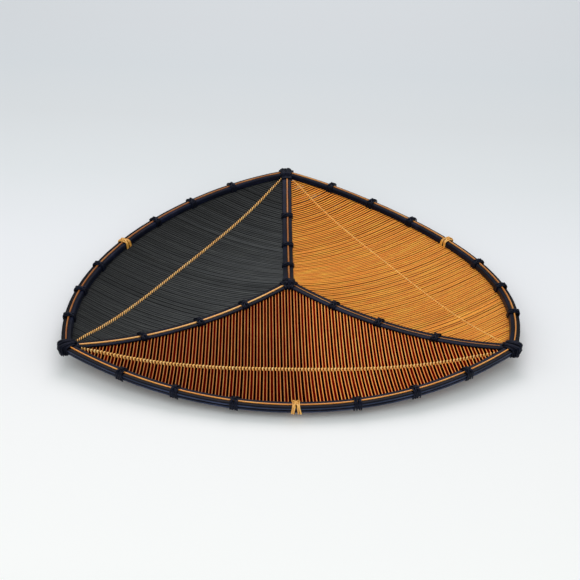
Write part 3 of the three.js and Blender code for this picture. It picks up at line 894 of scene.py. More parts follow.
def rounded(outline: Sequence[tuple[float, float]], radius: float, steps: int = 3) -> np.ndarray:
    """Rounds the corners of a closed outline.

    Args:
        outline: Its corners.
        radius: How far from a corner the rounding starts, at most half of each side.
        steps: Points on each rounded corner, less one.

    Returns:
        The points of the rounded outline.
    """
    corners = np.array(outline, float)
    points = []
    for i, corner in enumerate(corners):
        before, after = corners[i - 1] - corner, corners[(i + 1) % len(corners)] - corner
        cut = min(radius, 0.49 * np.linalg.norm(before), 0.49 * np.linalg.norm(after))
        points += [*bend_points(corner, unit(before) * cut, unit(after) * cut, steps)]
    return np.array(points)


# ---------------------------------------------------------------------------------------------
# Rims and ribs


def mitred(point: np.ndarray, along: np.ndarray, side: float) -> np.ndarray:
    """Moves a point along its rim on to the plane where two rims meet.

    Args:
        point: The point.
        along: The way along the rim.
        side: 1 at the rim's right corner, and -1 at its left.

    Returns:
        The moved point.
    """
    normal = np.array([-side * SIN_30, -COS_30, 0.0])
    shift = (PLAN.gap / 2 - point @ normal) / (along @ normal)
    return point + along * shift


# Lit and shaded copies of one bead, by the way each rim and rib runs: painted highlight and painted
# shade.
RIM_BEADS = {"front": Finish.BEAD, "right": Finish.AMBER_BEAD, "left": Finish.RUSSET_BEAD}
RIB_BEADS = {"left": Finish.PALE_BEAD, "right": Finish.AMBER_BEAD, "back": Finish.RUSSET_BEAD}


@dataclass(frozen=True)
class Rim:
    """A rim: an inner hoop, an outer hoop of four fine splints, and a natural bead between them."""

    petal: Petal
    steps: int = 120
    waves: tuple[float, ...] = (7.0, 13.0, 29.0)
    # Each splint's tone: lighter and darker by turns, painting the highlight lines between the splints.
    splint_highlight_tones: tuple[float, ...] = (0.75, 0.2, 0.9, 0.15)
    splint_gap: float = 0.15
    splint_wander: float = 0.25
    splint_round: float = 1.1
    hoop_round: float = 0.8
    hoop_chamfer: tuple[float, float] = (0.6, 1.0)
    bead_round: float = 1.0
    bead_shoulder: float = 0.25

    def _bar(self, outline: np.ndarray, wander: float, rng: random.Random) -> np.ndarray:
        """The rings of one bar along the rim.

        Args:
            outline: Its section, across and up.
            wander: How far its faces stray inwards here and there.
            rng: Its own chances.

        Returns:
            Ring by ring points, (rings, points, 3).
        """
        phases = [rng.uniform(0, 2 * math.pi) for _ in self.waves]
        rings = []
        for i in range(self.steps + 1):
            t = 1 - 2 * i / self.steps
            station = PLAN.rim_station(self.petal.skew, t)
            drift = wander * sum(
                math.sin(phase + t * wave) / len(phases) for phase, wave in zip(phases, self.waves)
            )
            ring = [station.place(u - abs(drift) * np.sign(u), w) for u, w in outline]
            if i in (0, self.steps):
                ring = [mitred(p, station.along, math.copysign(1, t)) for p in ring]
            rings.append(ring)
        return np.array(rings)

    def build(self) -> None:
        """Builds the three pieces of the rim."""
        rng = random.Random(f"rim {self.petal.name}")
        beading = self.petal.beading
        near = beading.rim_half + beading.space
        far = PLAN.hoop_face
        name = f"{self.petal.name}_rim"
        inner = Draft(f"{name}_inner_hoop_bamboo")
        low, top = PLAN.inner_bottom, -PLAN.cap_proud
        across, down = self.hoop_chamfer
        outline = [(-far, low), (-near, low), (-near, top), (-far + across, top), (-far, top - down)]
        inner.add_bar(self._bar(rounded(outline, self.hoop_round), 0.0, rng), rng.random())
        inner.make(self.petal, Finish.BLACK_HOOP, "black_bamboo", [f"{name}_inner_hoop"])
        outer = Draft(f"{name}_outer_hoop_splints")
        height = (PLAN.outer_height - beading.outer_drop) / len(self.splint_highlight_tones)
        for k, tone in enumerate(self.splint_highlight_tones):
            foot = PLAN.outer_bottom + k * height + self.splint_gap
            high = foot + height - 2 * self.splint_gap
            outline = [(near, foot), (far, foot), (far, high), (near, high)]
            shape = rounded(outline, self.splint_round, 4)
            outer.add_bar(self._bar(shape, self.splint_wander, rng), tone)
        outer.make(self.petal, Finish.BLACK_SPLINT, "black_bamboo", [f"{name}_outer_hoop"])
        bead = Draft(f"{name}_bead")
        half, side = beading.rim_half, -self.bead_shoulder
        outline = [(-half, low), (half, low), (half, side), (0.0, 0.0), (-half, side)]
        bead.add_bar(self._bar(rounded(outline, self.bead_round, 4), 0.0, rng), rng.random())
        bead.make(self.petal, RIM_BEADS[self.petal.name], "natural_bamboo", [f"{name}_cap"])


@dataclass(frozen=True)
class Rib:
    """A rib: two black flanks that lie on the strips' ends, and a natural bead between them."""

    petal: Petal
    steps: int = 80
    knot_gap: float = 1.0
    flank_round: float = 0.9
    # How far a flank's outer and inner edges lie below its top.
    flank_falls: tuple[float, float] = (0.35, 0.2)
    bead_round: float = 0.9
    bead_shoulder: float = 0.25
    bead_foot: float = 0.05
    core_drop: float = 0.1

    def end(self, v: float, w: float) -> float:
        """How far from the hub the rib ends, beside the corner's knot.

        Args:
            v: The place across, above 0 on the petal's own side.
            w: The place up from the top of the cap.

        Returns:
            The distance along the rib.
        """
        own = PLAN.rim_station(self.petal.skew, -1).along
        other = spin(-PLAN.rim_station(self.petal.before.skew, 1).along, -THIRD)
        cosine = -float((own if v > 0 else other) @ RAY)
        sine = math.sqrt(1 - cosine**2)
        strand = PLAN.strand_thickness + PLAN.strand_width / 2 * cosine
        reach = PLAN.hoop_face - w * PLAN.rim_lean + self.knot_gap + strand
        return PLAN.rib_length - (reach + abs(v) * cosine) / sine

    def _bar(self, outline: np.ndarray, start: float) -> np.ndarray:
        """The rings of one bar along the rib.

        Args:
            outline: Its section, across and up.
            start: How far from the hub it starts.

        Returns:
            Ring by ring points, (rings, points, 3).
        """
        ends = [self.end(v, w) for v, w in outline]
        rings = []
        for i in range(self.steps + 1):
            share = i / self.steps
            rings.append([
                PLAN.rib_station(start + (end - start) * share).place(v, w)
                for (v, w), end in zip(outline, ends)
            ])
        return np.array(rings)

    def build(self) -> None:
        """Builds the three pieces of the rib."""
        rng = random.Random(f"rib {self.petal.rib}")
        name = f"{self.petal.rib}_rib"
        beading, far = self.petal.beading, PLAN.flank_face
        top, bottom = -PLAN.rib_cap_proud, PLAN.flank_bottom
        for side, neighbour in ((1, self.petal.name), (-1, self.petal.before.name)):
            near = beading.rib_half + beading.space + side * beading.rib_shift
            flank = Draft(f"{name}_{neighbour}_flank_bamboo")
            middle, (outer, inner) = (near + far) / 2, self.flank_falls
            outline = [(near, bottom), (far, bottom), (far, top - outer), (middle, top),
                       (near, top - inner)]
            shape = rounded(outline, self.flank_round)
            if side < 0:
                shape = (shape * np.array([-1.0, 1.0]))[::-1]
            start = far * TAN_30 + PLAN.gap
            flank.add_bar(self._bar(shape, start), rng.random())
            flank.make(self.petal, Finish.BLACK_HOOP, "black_bamboo", [f"{name}_{neighbour}_flank"])
        bead = Draft(f"{name}_bead")
        left, right = beading.rib_shift - beading.rib_half, beading.rib_shift + beading.rib_half
        crown, shoulder = -beading.rib_sink, -beading.rib_sink - self.bead_shoulder
        core, low, shelf = PLAN.rib_cap_width / 2, PLAN.rib_cap_bottom, bottom - self.core_drop
        outline = [(-core, low), (core, low), (core, shelf), (right + self.bead_foot, shelf),
                   (right, shoulder), (beading.rib_shift, crown), (left, shoulder),
                   (left - self.bead_foot, shelf), (-core, shelf)]
        start = core * TAN_30 + PLAN.gap
        bead.add_bar(self._bar(rounded(outline, self.bead_round, 4), start), rng.random())
        bead.make(self.petal, RIB_BEADS[self.petal.rib], "natural_bamboo", [f"{name}_cap"])


# ---------------------------------------------------------------------------------------------
# Strips and twining


Table = tuple[tuple[float, float], ...]


def look_up(table: Table, x: float) -> float:
    """The value of a table at x, between its entries."""
    return float(np.interp(x, [p[0] for p in table], [p[1] for p in table]))


class Layer(Enum):
    """Where a kind of strip lies in its sheet. The value is how far it lies below the top."""

    TOP = 0.0
    BETWEEN = 0.35
    PACKING = 0.8


@dataclass(frozen=True)
class StripKind:
    """One kind of strip in a sheet."""

    key: str
    finish: Finish
    width: float
    layer: Layer = Layer.TOP
    thickness: float = 1.3


@dataclass(frozen=True)
class StripSheet:
    """The strips of one trough: which kinds follow each other, how they are spaced and how they fan.

    A sheet repeats a group of strips at each pitch. Unevenness scales how far strips stray, slack is the
    most that a group lies aside, and chance the most that a tone strays. The tables give, for a strip's
    place at the belly line, how it leans in the outer and in the inner half of its length, its tone, and
    its width as a share of its kind's.
    """

    petal: Petal
    slot: str
    kinds: tuple[StripKind, ...]
    order: tuple[int, ...]
    offsets: tuple[float, ...]
    pitch: float
    unevenness: float
    slack: float
    chance: float
    tones: Table
    widths: Table
    lean_out: Table = ((0.0, 0.0),)
    lean_in: Table = ((0.0, 0.0),)
    end: float = 247.0
    rows: int = 9
    bend: float = 10.0
    wander: float = 0.06
    wander_length: float = 19.0
    waver: float = 0.05
    waver_length: float = 23.0
    table_gap: float = 0.03
    least_length: float = 1.5
    least_opening: float = 1.2

    def _course(
        self, trough: Trough, x0: float, lift: float, thickness: float, rng: random.Random
    ) -> Optional[np.ndarray]:
        """The middle of a strip's top, from under the outer hoop to under the rib.

        Args:
            trough: The surface it lies on.
            x0: Where it crosses the belly line.
            lift: How far it stands above the surface.
            thickness: The strip's own.
            rng: Its own chances.

        Returns:
            The points, or nothing where there is no room for a strip.
        """
        lean_out, lean_in = look_up(self.lean_out, x0), look_up(self.lean_in, x0)
        belly = float(trough.row(Rows.BELLY, x0)[0])

        def aside(y: float) -> float:
            """The strip's x at y, where it bends gently at the belly line."""
            turn = math.hypot(belly - y, self.bend) - self.bend
            return x0 + 0.5 * ((lean_out + lean_in) * (belly - y) + (lean_out - lean_in) * turn)

        crossings = {}
        for row in (Rows.REACH, Rows.RIM, Rows.RIB, Rows.TUCK):
            x = x0
            for _ in range(8):
                y = float(trough.row(row, x)[0])
                x = aside(y)
            crossings[row] = y
        if abs(aside(crossings[Rows.REACH])) > trough.reach:
            return None
        if crossings[Rows.RIB] - crossings[Rows.RIM] < self.least_opening:
            return self._corner_course(trough, crossings, x0, lift)
        split = min(max(belly, crossings[Rows.RIM] + 0.5), crossings[Rows.RIB] - 0.5)
        ys = np.concatenate([
            [crossings[Rows.REACH]],
            np.linspace(crossings[Rows.RIM], split, self.rows),
            np.linspace(split, crossings[Rows.RIB], self.rows)[1:],
            [crossings[Rows.TUCK]],
        ])
        xs = np.array([aside(float(y)) for y in ys])
        zs = trough.height(xs, ys)
        zs[0] = trough.row(Rows.REACH, xs[0])[1]
        zs[-1] = trough.row(Rows.TUCK, xs[-1])[1]
        phase = rng.uniform(0, 6.28)
        free = np.sin(np.linspace(0, math.pi, len(ys))) ** 0.5
        wander, waver = self.wander * self.unevenness, self.waver * self.unevenness
        xs = xs + free * wander * np.sin(phase + ys / self.wander_length)
        zs = zs + free * (lift + waver * np.sin(phase * 1.7 + ys / self.waver_length))
        zs[0] += min(lift, 0.0)
        zs[-1] += min(lift, 0.0)
        zs = np.maximum(zs, thickness + self.table_gap - ORIGIN[2])
        return np.stack([xs, ys, zs], axis=1)

    def _corner_course(
        self, trough: Trough, crossings: dict[Rows, float], x0: float, lift: float
    ) -> Optional[np.ndarray]:
        """The course of a short strip that only closes the sheet beside a corner's knot.

        Args:
            trough: The surface it lies on.
            crossings: The y where it meets each row.
            x0: Its x.
            lift: How far it stands above the surface.

        Returns:
            The points, or nothing where there is no room for a strip.
        """
        start, end = crossings[Rows.REACH], crossings[Rows.TUCK]
        if end - start < self.least_length:
            return None
        reach, rim, rib, tuck = (float(trough.row(row, x0)[1]) for row in crossings)
        middle, sunk = (rim + rib) / 2 + lift, min(lift, 0.0)
        heights = (reach + sunk, middle, middle, tuck + sunk)
        return np.array([(x0, y, z) for y, z in zip(np.linspace(start, end, len(heights)), heights)])

    def build(self, trough: Trough) -> None:
        """Builds the strips, one piece for each kind.

        Args:
            trough: The surface they lie on.
        """
        rng = random.Random(f"strips {self.petal.name}")
        drafts = {kind.key: Draft(f"{self.petal.name}_strips_{kind.key}") for kind in self.kinds}
        groups = int(self.end / self.pitch) + 1
        for group in range(-groups, groups + 1):
            shift = max(-self.slack, min(self.slack, rng.gauss(0.0, 0.6 * self.slack)))
            for place, offset in enumerate(self.offsets):
                kind = self.kinds[self.order[(group * len(self.offsets) + place) % len(self.order)]]
                gather = look_up(self.widths, group * self.pitch) if kind.layer is Layer.TOP else 1.0
                moved = 0.0 if kind.layer is Layer.PACKING else shift
                x0 = group * self.pitch + offset * gather + moved
                if abs(x0) > self.end:
                    continue
                lift = rng.uniform(-self.wander, self.wander) * self.unevenness - kind.layer.value
                course = self._course(trough, x0, lift, kind.thickness, rng)
                if course is None:
                    continue
                width = kind.width * (1 + rng.uniform(-0.03, 0.02))
                if kind.layer is Layer.TOP:
                    width *= look_up(self.widths, x0)
                tone = look_up(self.tones, x0) + rng.uniform(-self.chance, self.chance)
                rings = self._section(course, width, kind.thickness)
                drafts[kind.key].add_bar(rings, min(1.0, max(0.0, tone)), 3)
        for kind in self.kinds:
            drafts[kind.key].make(self.petal, kind.finish, self.slot, self.petal.sheets)

    @staticmethod
    def _section(course: np.ndarray, width: float, thick: float) -> np.ndarray:
        """A strip's rings: flat below, with its skin's round above.

        Args:
            course: The middle of its top.
            width: Its width.
            thick: Its thickness.

        Returns:
            Ring by ring points, (rings, points, 3).
        """
        shape = [(-0.5, 0.0), (-0.5, -0.55), (-0.37, -0.87), (0.0, -1.0), (0.37, -0.87), (0.5, -0.55),
                 (0.5, 0.0)]
        side = units(np.cross(np.gradient(course, axis=0), UP))
        rings = [course + side * (a * width) - UP * (thick * (1 + b)) for a, b in shape]
        return np.stack(rings, axis=1)


@dataclass(frozen=True)
class Twining:
    """A line of twining: peel that dips between the strips and comes over them in short strokes."""

    petal: Petal
    pitch: float
    half_depth: float
    width: float
    thickness: float
    rise: float
    slant: float
    bulge: float = 0.0
    skew: float = 0.0
    finish: Finish = Finish.GOLD_PEEL
    end: float = 236.0
    fade: float = 30.0
    dip: float = 0.9
    jog: float = 0.12
    taper: float = 0.35
    edge_round: float = 0.42

    def build(self, trough: Trough) -> None:
        """Builds the strokes, all in one piece.

        Args:
            trough: The surface that they lie on.
        """
        rng = random.Random(f"twine {self.petal.name}")
        draft = Draft(f"{self.petal.name}_twine_peel")
        count = int(self.end / self.pitch)
        for i in range(-count, count + 1):
            draft.add_bar(self._stroke(trough, i * self.pitch, rng), rng.random())
        draft.make(self.petal, self.finish, "natural_rattan", [f"{self.petal.name}_twine"])

    def _stroke(self, trough: Trough, x0: float, rng: random.Random) -> np.ndarray:
        """One stroke's rings, from where it comes up to where it goes down again.

        Args:
            trough: The surface that it lies on.
            x0: Its place along the line.
            rng: Its own chances.

        Returns:
            Ring by ring points, (rings, points, 3).
        """
        steps, full = 12, 0.5 + 0.5 * min(1.0, (self.end - abs(x0)) / self.fade)
        belly_y, belly_z = (float(v) for v in trough.row(Rows.BELLY, x0))
        jog = rng.uniform(-self.jog, self.jog)
        centre = []
        for k in range(steps + 1):
            s = -1 + 2 * k / steps
            over = 1 - abs(s) ** 2.6
            x = x0 + full * (self.slant * s - self.bulge * (1 - s * s)) + jog
            z = belly_z + self.rise * over - self.dip * (1 - over)
            centre.append((x, belly_y - full * self.half_depth * s + self.skew * x0, z))
        path = np.array(centre)
        ahead = units(np.gradient(path, axis=0))
        side = units(np.cross(ahead, UP))
        face = np.cross(side, ahead)
        taper = 1 - self.taper * np.abs(np.linspace(-1, 1, steps + 1)) ** 3
        section = rounded(SQUARE, self.edge_round, 2)
        rings = [
            path + side * (a * self.width * taper)[:, None] + face * (b * self.thickness)
            for a, b in section
        ]
        return np.stack(rings, axis=1)


# ---------------------------------------------------------------------------------------------
# Bindings


Knot = tuple[np.ndarray, np.ndarray]


def on(station: Station, u: float, w: float, nu: float, nw: float) -> Knot:
    """A point of a strand at u across and w up, with its flat side turned to nu across and nw up."""
    up = unit(UP - station.along * station.along[2])
    return station.place(u, w), unit(station.out * nu + up * nw)


class Strand:
    """One flat strand of peel along a route, with its bends rounded."""

    # Below these, the route runs straight at its face, and the face has turned over.
    least_face: ClassVar[float] = 0.05
    least_match: ClassVar[float] = -0.2
    edge_round: ClassVar[float] = 0.3

    def __init__(self, route: Sequence[Knot], bend: float, steps: int) -> None:
        """Rounds the route's bends.

        Args:
            route: Its points, each with the way that the flat side faces.
            bend: How far from a bend the rounding starts.
            steps: Points on each bend, less one.
        """
        points, faces = zip(*route)
        path, normals = [points[0]], [faces[0]]
        for i in range(1, len(points) - 1):
            sides = (points[i - 1] - points[i], points[i + 1] - points[i])
            before, after = (unit(side) * min(bend, 0.48 * np.linalg.norm(side)) for side in sides)
            path += [*bend_points(points[i], before, after, steps)]
            for s in np.linspace(0.0, 1.0, steps + 1):
                beside, off = faces[i - 1 if s < 0.5 else i + 1], abs(s - 0.5)
                normals.append(unit(faces[i] * (1 - off) + beside * off * 0.4))
        path.append(points[-1])
        normals.append(faces[-1])
        self.path = np.array(path)
        self.normals = np.array(normals)

    def rings(self, width: float, thickness: float) -> np.ndarray:
        """The strand's rings.

        Args:
            width: Across its flat side.
            thickness: Through it.

        Returns:
            Ring by ring points, (rings, points, 3).
        """
        ahead = units(np.gradient(self.path, axis=0))
        rings = []
        last = None
        section = rounded(SQUARE, self.edge_round, 2)
        for point, way, normal in zip(self.path, ahead, self.normals):
            face = normal - way * (normal @ way)
            if np.linalg.norm(face) < self.least_face:
                face = last if last is not None else UP - way * way[2]
            face = unit(face)
            across = np.cross(face, way)
            if last is not None and face @ last < self.least_match:
                face, across = -face, -across
            last = face
            rings.append([point + across * (a * width) + face * (b * thickness) for a, b in section])
        return np.array(rings)


@dataclass(frozen=True)
class Bundle:
    """What a strand goes round: distances to the middle of the strand."""

    inner: float
    outer: float
    shoulder: float
    crown: float
    bottom: float

    def grown(self, inner: float, outer: float, up: float, down: float) -> "Bundle":
        """The bundle with more round it on each side."""
        sides = self.inner + inner, self.outer + outer
        return Bundle(*sides, self.shoulder + up, self.crown + up, self.bottom - down)

    def leg(self, top: Station, foot: Optional[Station] = None) -> list[Knot]:
        """One leg: up the inner side, over the cap and down the outer side.

        Args:
            top: The station where it crosses the cap.
            foot: The station of its feet, where they splay.

        Returns:
            Its route.
        """
        foot = foot or top
        return [
            on(foot, -self.inner, self.bottom, -1, -1),
            on(top, -self.inner, self.shoulder, -1, 1),
            on(top, 0.0, self.crown, 0, 1),
            on(top, self.outer, self.shoulder, 1, 1),
            on(foot, self.outer, self.bottom, 1, -1),
        ]


def lay_strand(
    draft: Draft, route: Sequence[Knot], bend: float, rng: random.Random, steps: int = 5,
    share: float = 1.0,
) -> None:
    """Adds one strand to a piece.

    Args:
        draft: The piece.
        route: The strand's route.
        bend: How far from a bend its rounding starts.
        rng: Its own chances.
        steps: Points on each bend, less one.
        share: Its width as a share of a strand's.
    """
    rings = Strand(route, bend, steps).rings(PLAN.strand_width * share, PLAN.strand_thickness)
    draft.add_bar(rings, rng.random())


KNOT_GAP = 0.5
STRAND_PITCH = PLAN.strand_width + PLAN.strand_space
LAYER = PLAN.strand_thickness + 0.1
LAID = PLAN.strand_offset
RIM_BUNDLE = Bundle(
    PLAN.hoop_face + LAID, PLAN.hoop_face + LAID, LAID - PLAN.cap_proud, LAID,
    min(PLAN.outer_bottom, PLAN.strip_top_rim - PLAN.strip_thickness) - LAID,
)
RIB_BUNDLE = Bundle(
    PLAN.flank_face + LAID, PLAN.flank_face + LAID, LAID - PLAN.rib_cap_proud, LAID,
    PLAN.rib_cap_bottom - LAID,
)
CORNER_FACE = PLAN.hoop_face + KNOT_GAP + PLAN.strand_thickness / 2
CORNER_BUNDLE = replace(RIM_BUNDLE, inner=CORNER_FACE, outer=CORNER_FACE)


@dataclass(frozen=True)
class Tie:
    """A tie round a bundle: four legs, splayed two and two, with strands crossed over them on top."""

    name: str
    petal: Petal
    bundle: Bundle
    station: Callable[[float], Station]
    natural: bool = False
    shift: float = 0.0
    reach: float = 3.6

    @property
    def legs(self) -> tuple[tuple[float, float], ...]:
        """Where each leg crosses the top, and where its foot is."""
        splayed = (-3.3, -4.5), (-1.4, -2.5), (1.7, 2.6), (3.3, 5.4)
        return splayed if self.natural else ((-3.3, -3.9), (-1.1, -1.4), (1.1, 1.4), (3.3, 3.9))

    def build(self) -> None:
        """Builds the tie."""
        rng = random.Random(self.name)
        draft = Draft(f"{self.name}_peel")
        around: list[Knot] = []
        for top, foot in self.legs:
            around += self.bundle.leg(self._at(top), self._at(foot + rng.uniform(-0.3, 0.3)))
        lay_strand(draft, around, 1.3, rng, 4, 0.9)
        for layer, side in enumerate((1, -1)):
            lay_strand(draft, self._over(side, layer), 3.0, rng, 6)
        lay_strand(draft, self._button(rng), 2.2, rng, 6, 1.3)
        finish = Finish.TIE_PEEL if self.natural else Finish.BLACK_STRAND
        slot = "natural_rattan" if self.natural else "black_rattan"
        draft.make(self.petal, finish, slot, [self.name])

    def _at(self, s: float) -> Station:
        """The station at s along from the tie's middle."""
        return self.station(s + self.shift)

    def _over(self, side: int, layer: int) -> list[Knot]:
        """One strand aslant over the legs, with its ends tucked under the outer ones.

        Args:
            side: Which way it slants, 1 or -1.
            layer: 0 for the lower strand, and 1 for the upper.

        Returns:
            Its route.
        """
        at, b, e = self._at, self.bundle, self.reach
        middle = b.crown + LAYER * (1.0 + 0.6 * layer)
        return [
            on(at(-side * e), -b.inner + 1.2, b.shoulder - 0.6, -1, 0.5),
            on(at(-side * e * 0.8), -b.inner + 0.5, b.shoulder + LAYER * 0.8, -0.8, 1),
            on(at(-side * e * 0.25), -b.inner * 0.35, middle, -0.2, 1),
            on(at(side * e * 0.25), b.outer * 0.35, middle, 0.2, 1),
            on(at(side * e * 0.8), b.outer - 0.5, b.shoulder + LAYER * 0.8, 0.8, 1),
            on(at(side * e), b.outer - 1.2, b.shoulder - 0.6, 1, 0.5),
        ]

    def _button(self, rng: random.Random) -> list[Knot]:
        """The short turn that draws the crossed strands together.

        Args:
            rng: The tie's own chances.

        Returns:
            Its route.
        """
        at, b = self._at, self.bundle
        lean, top = rng.uniform(-0.5, 0.5), b.crown + LAYER * 2.2
        return [
            on(at(-2.6), -lean, b.crown + LAYER * 0.4, 0, 1),
            on(at(-1.2), -lean, top, 0, 1),
            on(at(1.2), lean, top, 0, 1),
            on(at(2.6), lean, b.crown + LAYER * 0.4, 0, 1),
        ]


def corner_station(petal: Petal, distance: float, fan: float) -> Station:
    """A station at a corner, a distance to one side of the plane through the hub.

    Args:
        petal: The petal whose rib ends there.
        distance: Along its own rim if above 0, and along the other rim otherwise.
        fan: Over what distance the stations turn from one rim to the other.

    Returns:
        The station.
    """
    inset = abs(distance) / PLAN.rim_half_length
    if distance > 0:
        rim = PLAN.rim_station(petal.skew, inset - 1)
    else:
        rim = PLAN.rim_station(petal.before.skew, 1 - inset).turned(-THIRD)
    share = min(1.0, abs(distance) / fan)
    out = unit(RAY * (1 - share) + rim.out * share)
    return Station(rim.at, rim.along, out, rim.lean, 1 / float(out @ rim.out))


@dataclass(frozen=True)
class CornerKnot:
    """The knot at a corner: legs fanned round it over its padding, two bunches over those, strands
    crossed outside, and turns round the end of the rib."""

    petal: Petal
    bunches: tuple[float, ...]
    reaches: tuple[float, float] = (1.0, 1.0)
    bulge: float = 0.0
    legs: int = 9
    bunch_spacing: float = 0.2
    rib_turns: int = 3
    rib_turn_start: float = 1.0
    rib_turn_pitch: float = 2.1

    @cached_property
    def edge(self) -> float:
        """How far the legs reach along either rim.

        Returns:
            The length that the solid knot's strands have between its plane and its edge.
        """
        b, each = CORNER_BUNDLE, 2
        outs = [corner_station(self.petal, side * PLAN.gap, PLAN.gap).out for side in (-1, 1)]
        fan = max(math.acos(min(1.0, float(out @ RAY))) for out in outs)
        narrowing = (b.inner - b.bottom * PLAN.rim_lean) * fan / each
        return each * (STRAND_PITCH + narrowing + KNOT_GAP)

    def at(self, share: float) -> Station:
        """The station at a share of the knot's reach.

        Args:
            share: Above 0 along the petal's own rim, and below 0 along the other.

        Returns:
            The station, with the knot's swelling.
        """
        distance = share * self.edge * self.reaches[0 if share < 0 else 1]
        station = corner_station(self.petal, distance or 0.01, self.edge)
        swell = self.bulge * (1 - min(1.0, abs(share))) ** 0.7
        return replace(station, stretch=station.stretch * (1 + swell / CORNER_BUNDLE.outer))

    def build(self) -> None:
        """Builds the knot."""
        rng = random.Random(f"corner {self.petal.rib}")
        b = CORNER_BUNDLE
        draft = Draft(f"{self.petal.rib}_corner_knot_peel")
        draft.add_bar(self._padding(), 0.3)
        around: list[Knot] = []
        for i in range(self.legs):
            around += b.leg(self.at(2 * i / (self.legs - 1) - 1))
        lay_strand(draft, around, 2.0, rng)
        over = b.grown(LAYER, LAYER, LAYER, LAYER)
        high = over.grown(0.2, 0.3, LAYER / 2, 0.0)
        for bunch in self.bunches:
            turns: list[Knot] = []
            for k in (-1, 0, 1):
                turns += over.leg(self.at(bunch + k * self.bunch_spacing))
            lay_strand(draft, turns, 2.4, rng)
            lay_strand(draft, high.leg(self.at(bunch)), 2.6, rng)
        for side in (-1, 1):
            lay_strand(draft, self._crossed(side), 3.0, rng)
        turns = []
        start = Rib(self.petal).end(0.0, 0.0) - self.rib_turn_start
        for k in range(self.rib_turns):
            turns += RIB_BUNDLE.leg(PLAN.rib_station(start - self.rib_turn_pitch * k))
        lay_strand(draft, turns, 1.3, rng)
        draft.make(self.petal, Finish.BLACK_STRAND, "black_rattan", [f"{self.petal.rib}_corner_knot"])

    def _padding(self) -> np.ndarray:
        """The hidden turns that close the corner under the legs.

        Returns:
            Ring by ring points, (rings, points, 3).
        """
        far, low = PLAN.hoop_face + 0.35, PLAN.outer_bottom - 0.3
        outline = rounded([(-far, low), (far, low), (far, -0.6), (0.0, 0.35), (-far, -0.6)], 1.2)
        stations = [self.at(1.06 * (i / 8 - 1)) for i in range(17)]
        return np.array([[station.place(u, w) for u, w in outline] for station in stations])

    def _crossed(self, side: int) -> list[Knot]:
        """A strand from the inner side of one rim, over the top and aslant down the outside.

        Args:
            side: 1 if it ends on the petal's own rim, and -1 if on the other.

        Returns:
            Its route.
        """
        b, e, at = CORNER_BUNDLE, side * 0.85, self.at
        out, high = b.outer + 2.1 * LAYER, b.crown + 1.4 * LAYER
        return [
            on(at(-e), -b.inner, b.shoulder - 1.0, -1, 0.4),
            on(at(-e * 0.9), -b.inner + 0.5, b.shoulder + LAYER, -0.7, 1),
            on(at(-e * 0.5), 0.0, high, 0, 1),
            on(at(-e * 0.2), out * 0.8, b.shoulder + LAYER, 0.7, 1),
            on(at(e * 0.3), out, (b.bottom + b.shoulder) / 2, 1, 0),
            on(at(e * 0.9), out - LAYER, b.bottom + 1.0, 1, -0.2),
            on(at(e), out - 2 * LAYER, b.bottom, 0.7, -1),
        ]


@dataclass(frozen=True)
class HubKnot:
    """The knot over the hub: turns round the foot of each rib, and strands crossed over the middle."""

    front: Trough
    turn_distances: tuple[tuple[float, ...], ...] = ((5.6, 7.8), (5.6, 7.8), (7.0, 9.2, 11.4))
    drop_distance: float = 12.0

    @staticmethod
    def _point(radius: float, angle: float, w: float) -> Knot:
        """A place over the hub, facing up and out.

        Args:
            radius: Its distance from the hub.
            angle: Its direction.
            w: Its place up from the top of the ribs' beads.

        Returns:
            The place.
        """
        c, s = math.cos(angle), math.sin(angle)
        at = np.array([radius * c, radius * s, PLAN.rib_height(0.0) + w])
        slope = 1.0 if w < 0 else 0.25
        return at, unit(np.array([slope * c, slope * s, 1.0]))

    def build(self) -> None:
        """Builds the knot."""
        rng = random.Random("hub")
        draft = Draft("hub_knot_peel")
        draft.add_bar(self._padding(), 0.3)
        for distances, turn in zip(self.turn_distances, (0.0, THIRD, -THIRD)):
            turns: list[Knot] = []
            for distance in distances:
                turns += RIB_BUNDLE.leg(PLAN.rib_station(distance).turned(turn))
            lay_strand(draft, turns, 1.3, rng)
        for layer, degrees in enumerate((210.0, 330.0, 90.0)):
            for half in (0.0, 0.5):
                lay_strand(draft, self._crossed(math.radians(degrees) + half, layer + half), 2.5, rng)
        trough = float(self.front.height(np.array([0.0]), np.array([-self.drop_distance]))[0])
        low = trough - PLAN.rib_height(0.0) - PLAN.strip_thickness - PLAN.strand_offset
        front, drop = -math.pi / 2, self.drop_distance
        places = (6.0, RIB_BUNDLE.crown + LAYER), (drop, -1.0), (drop, low), (4.0, low)
        lay_strand(draft, [self._point(radius, front, w) for radius, w in places], 1.5, rng)
        draft.make(PETALS[0], Finish.BLACK_STRAND, "black_rattan", ["hub_knot"])

    def _padding(self) -> np.ndarray:
        """The hidden turns that fill the knot's middle.

        Returns:
            Ring by ring points, (rings, points, 3).
        """
        crown = RIB_BUNDLE.crown
        levels = ((4.6, crown - 3.0), (4.9, crown - 0.9), (4.1, crown + 0.2), (2.2, crown + 0.7))
        turn = np.linspace(0, 2 * math.pi, 19)[:-1]
        return np.array([[self._point(radius, angle, w)[0] for angle in turn] for radius, w in levels])

    def _crossed(self, rib: float, layer: float) -> list[Knot]:
        """A strand that lies along the foot of one rib, and dips between the other two.

        Args:
            rib: The rib's direction.
            layer: How many strands lie below it.

        Returns:
            Its route.
        """
        crown, away = RIB_BUNDLE.crown, rib + math.pi
        top = crown + LAYER * (0.8 + 0.75 * layer)
        return [
            self._point(7.4, rib, crown - 0.8),
            self._point(5.6, rib, crown + LAYER * 0.9),
            self._point(2.2, rib, top),
            self._point(2.4, away, top),
            self._point(5.2, away, crown - 0.4),
            self._point(6.6, away, -4.4),
        ]


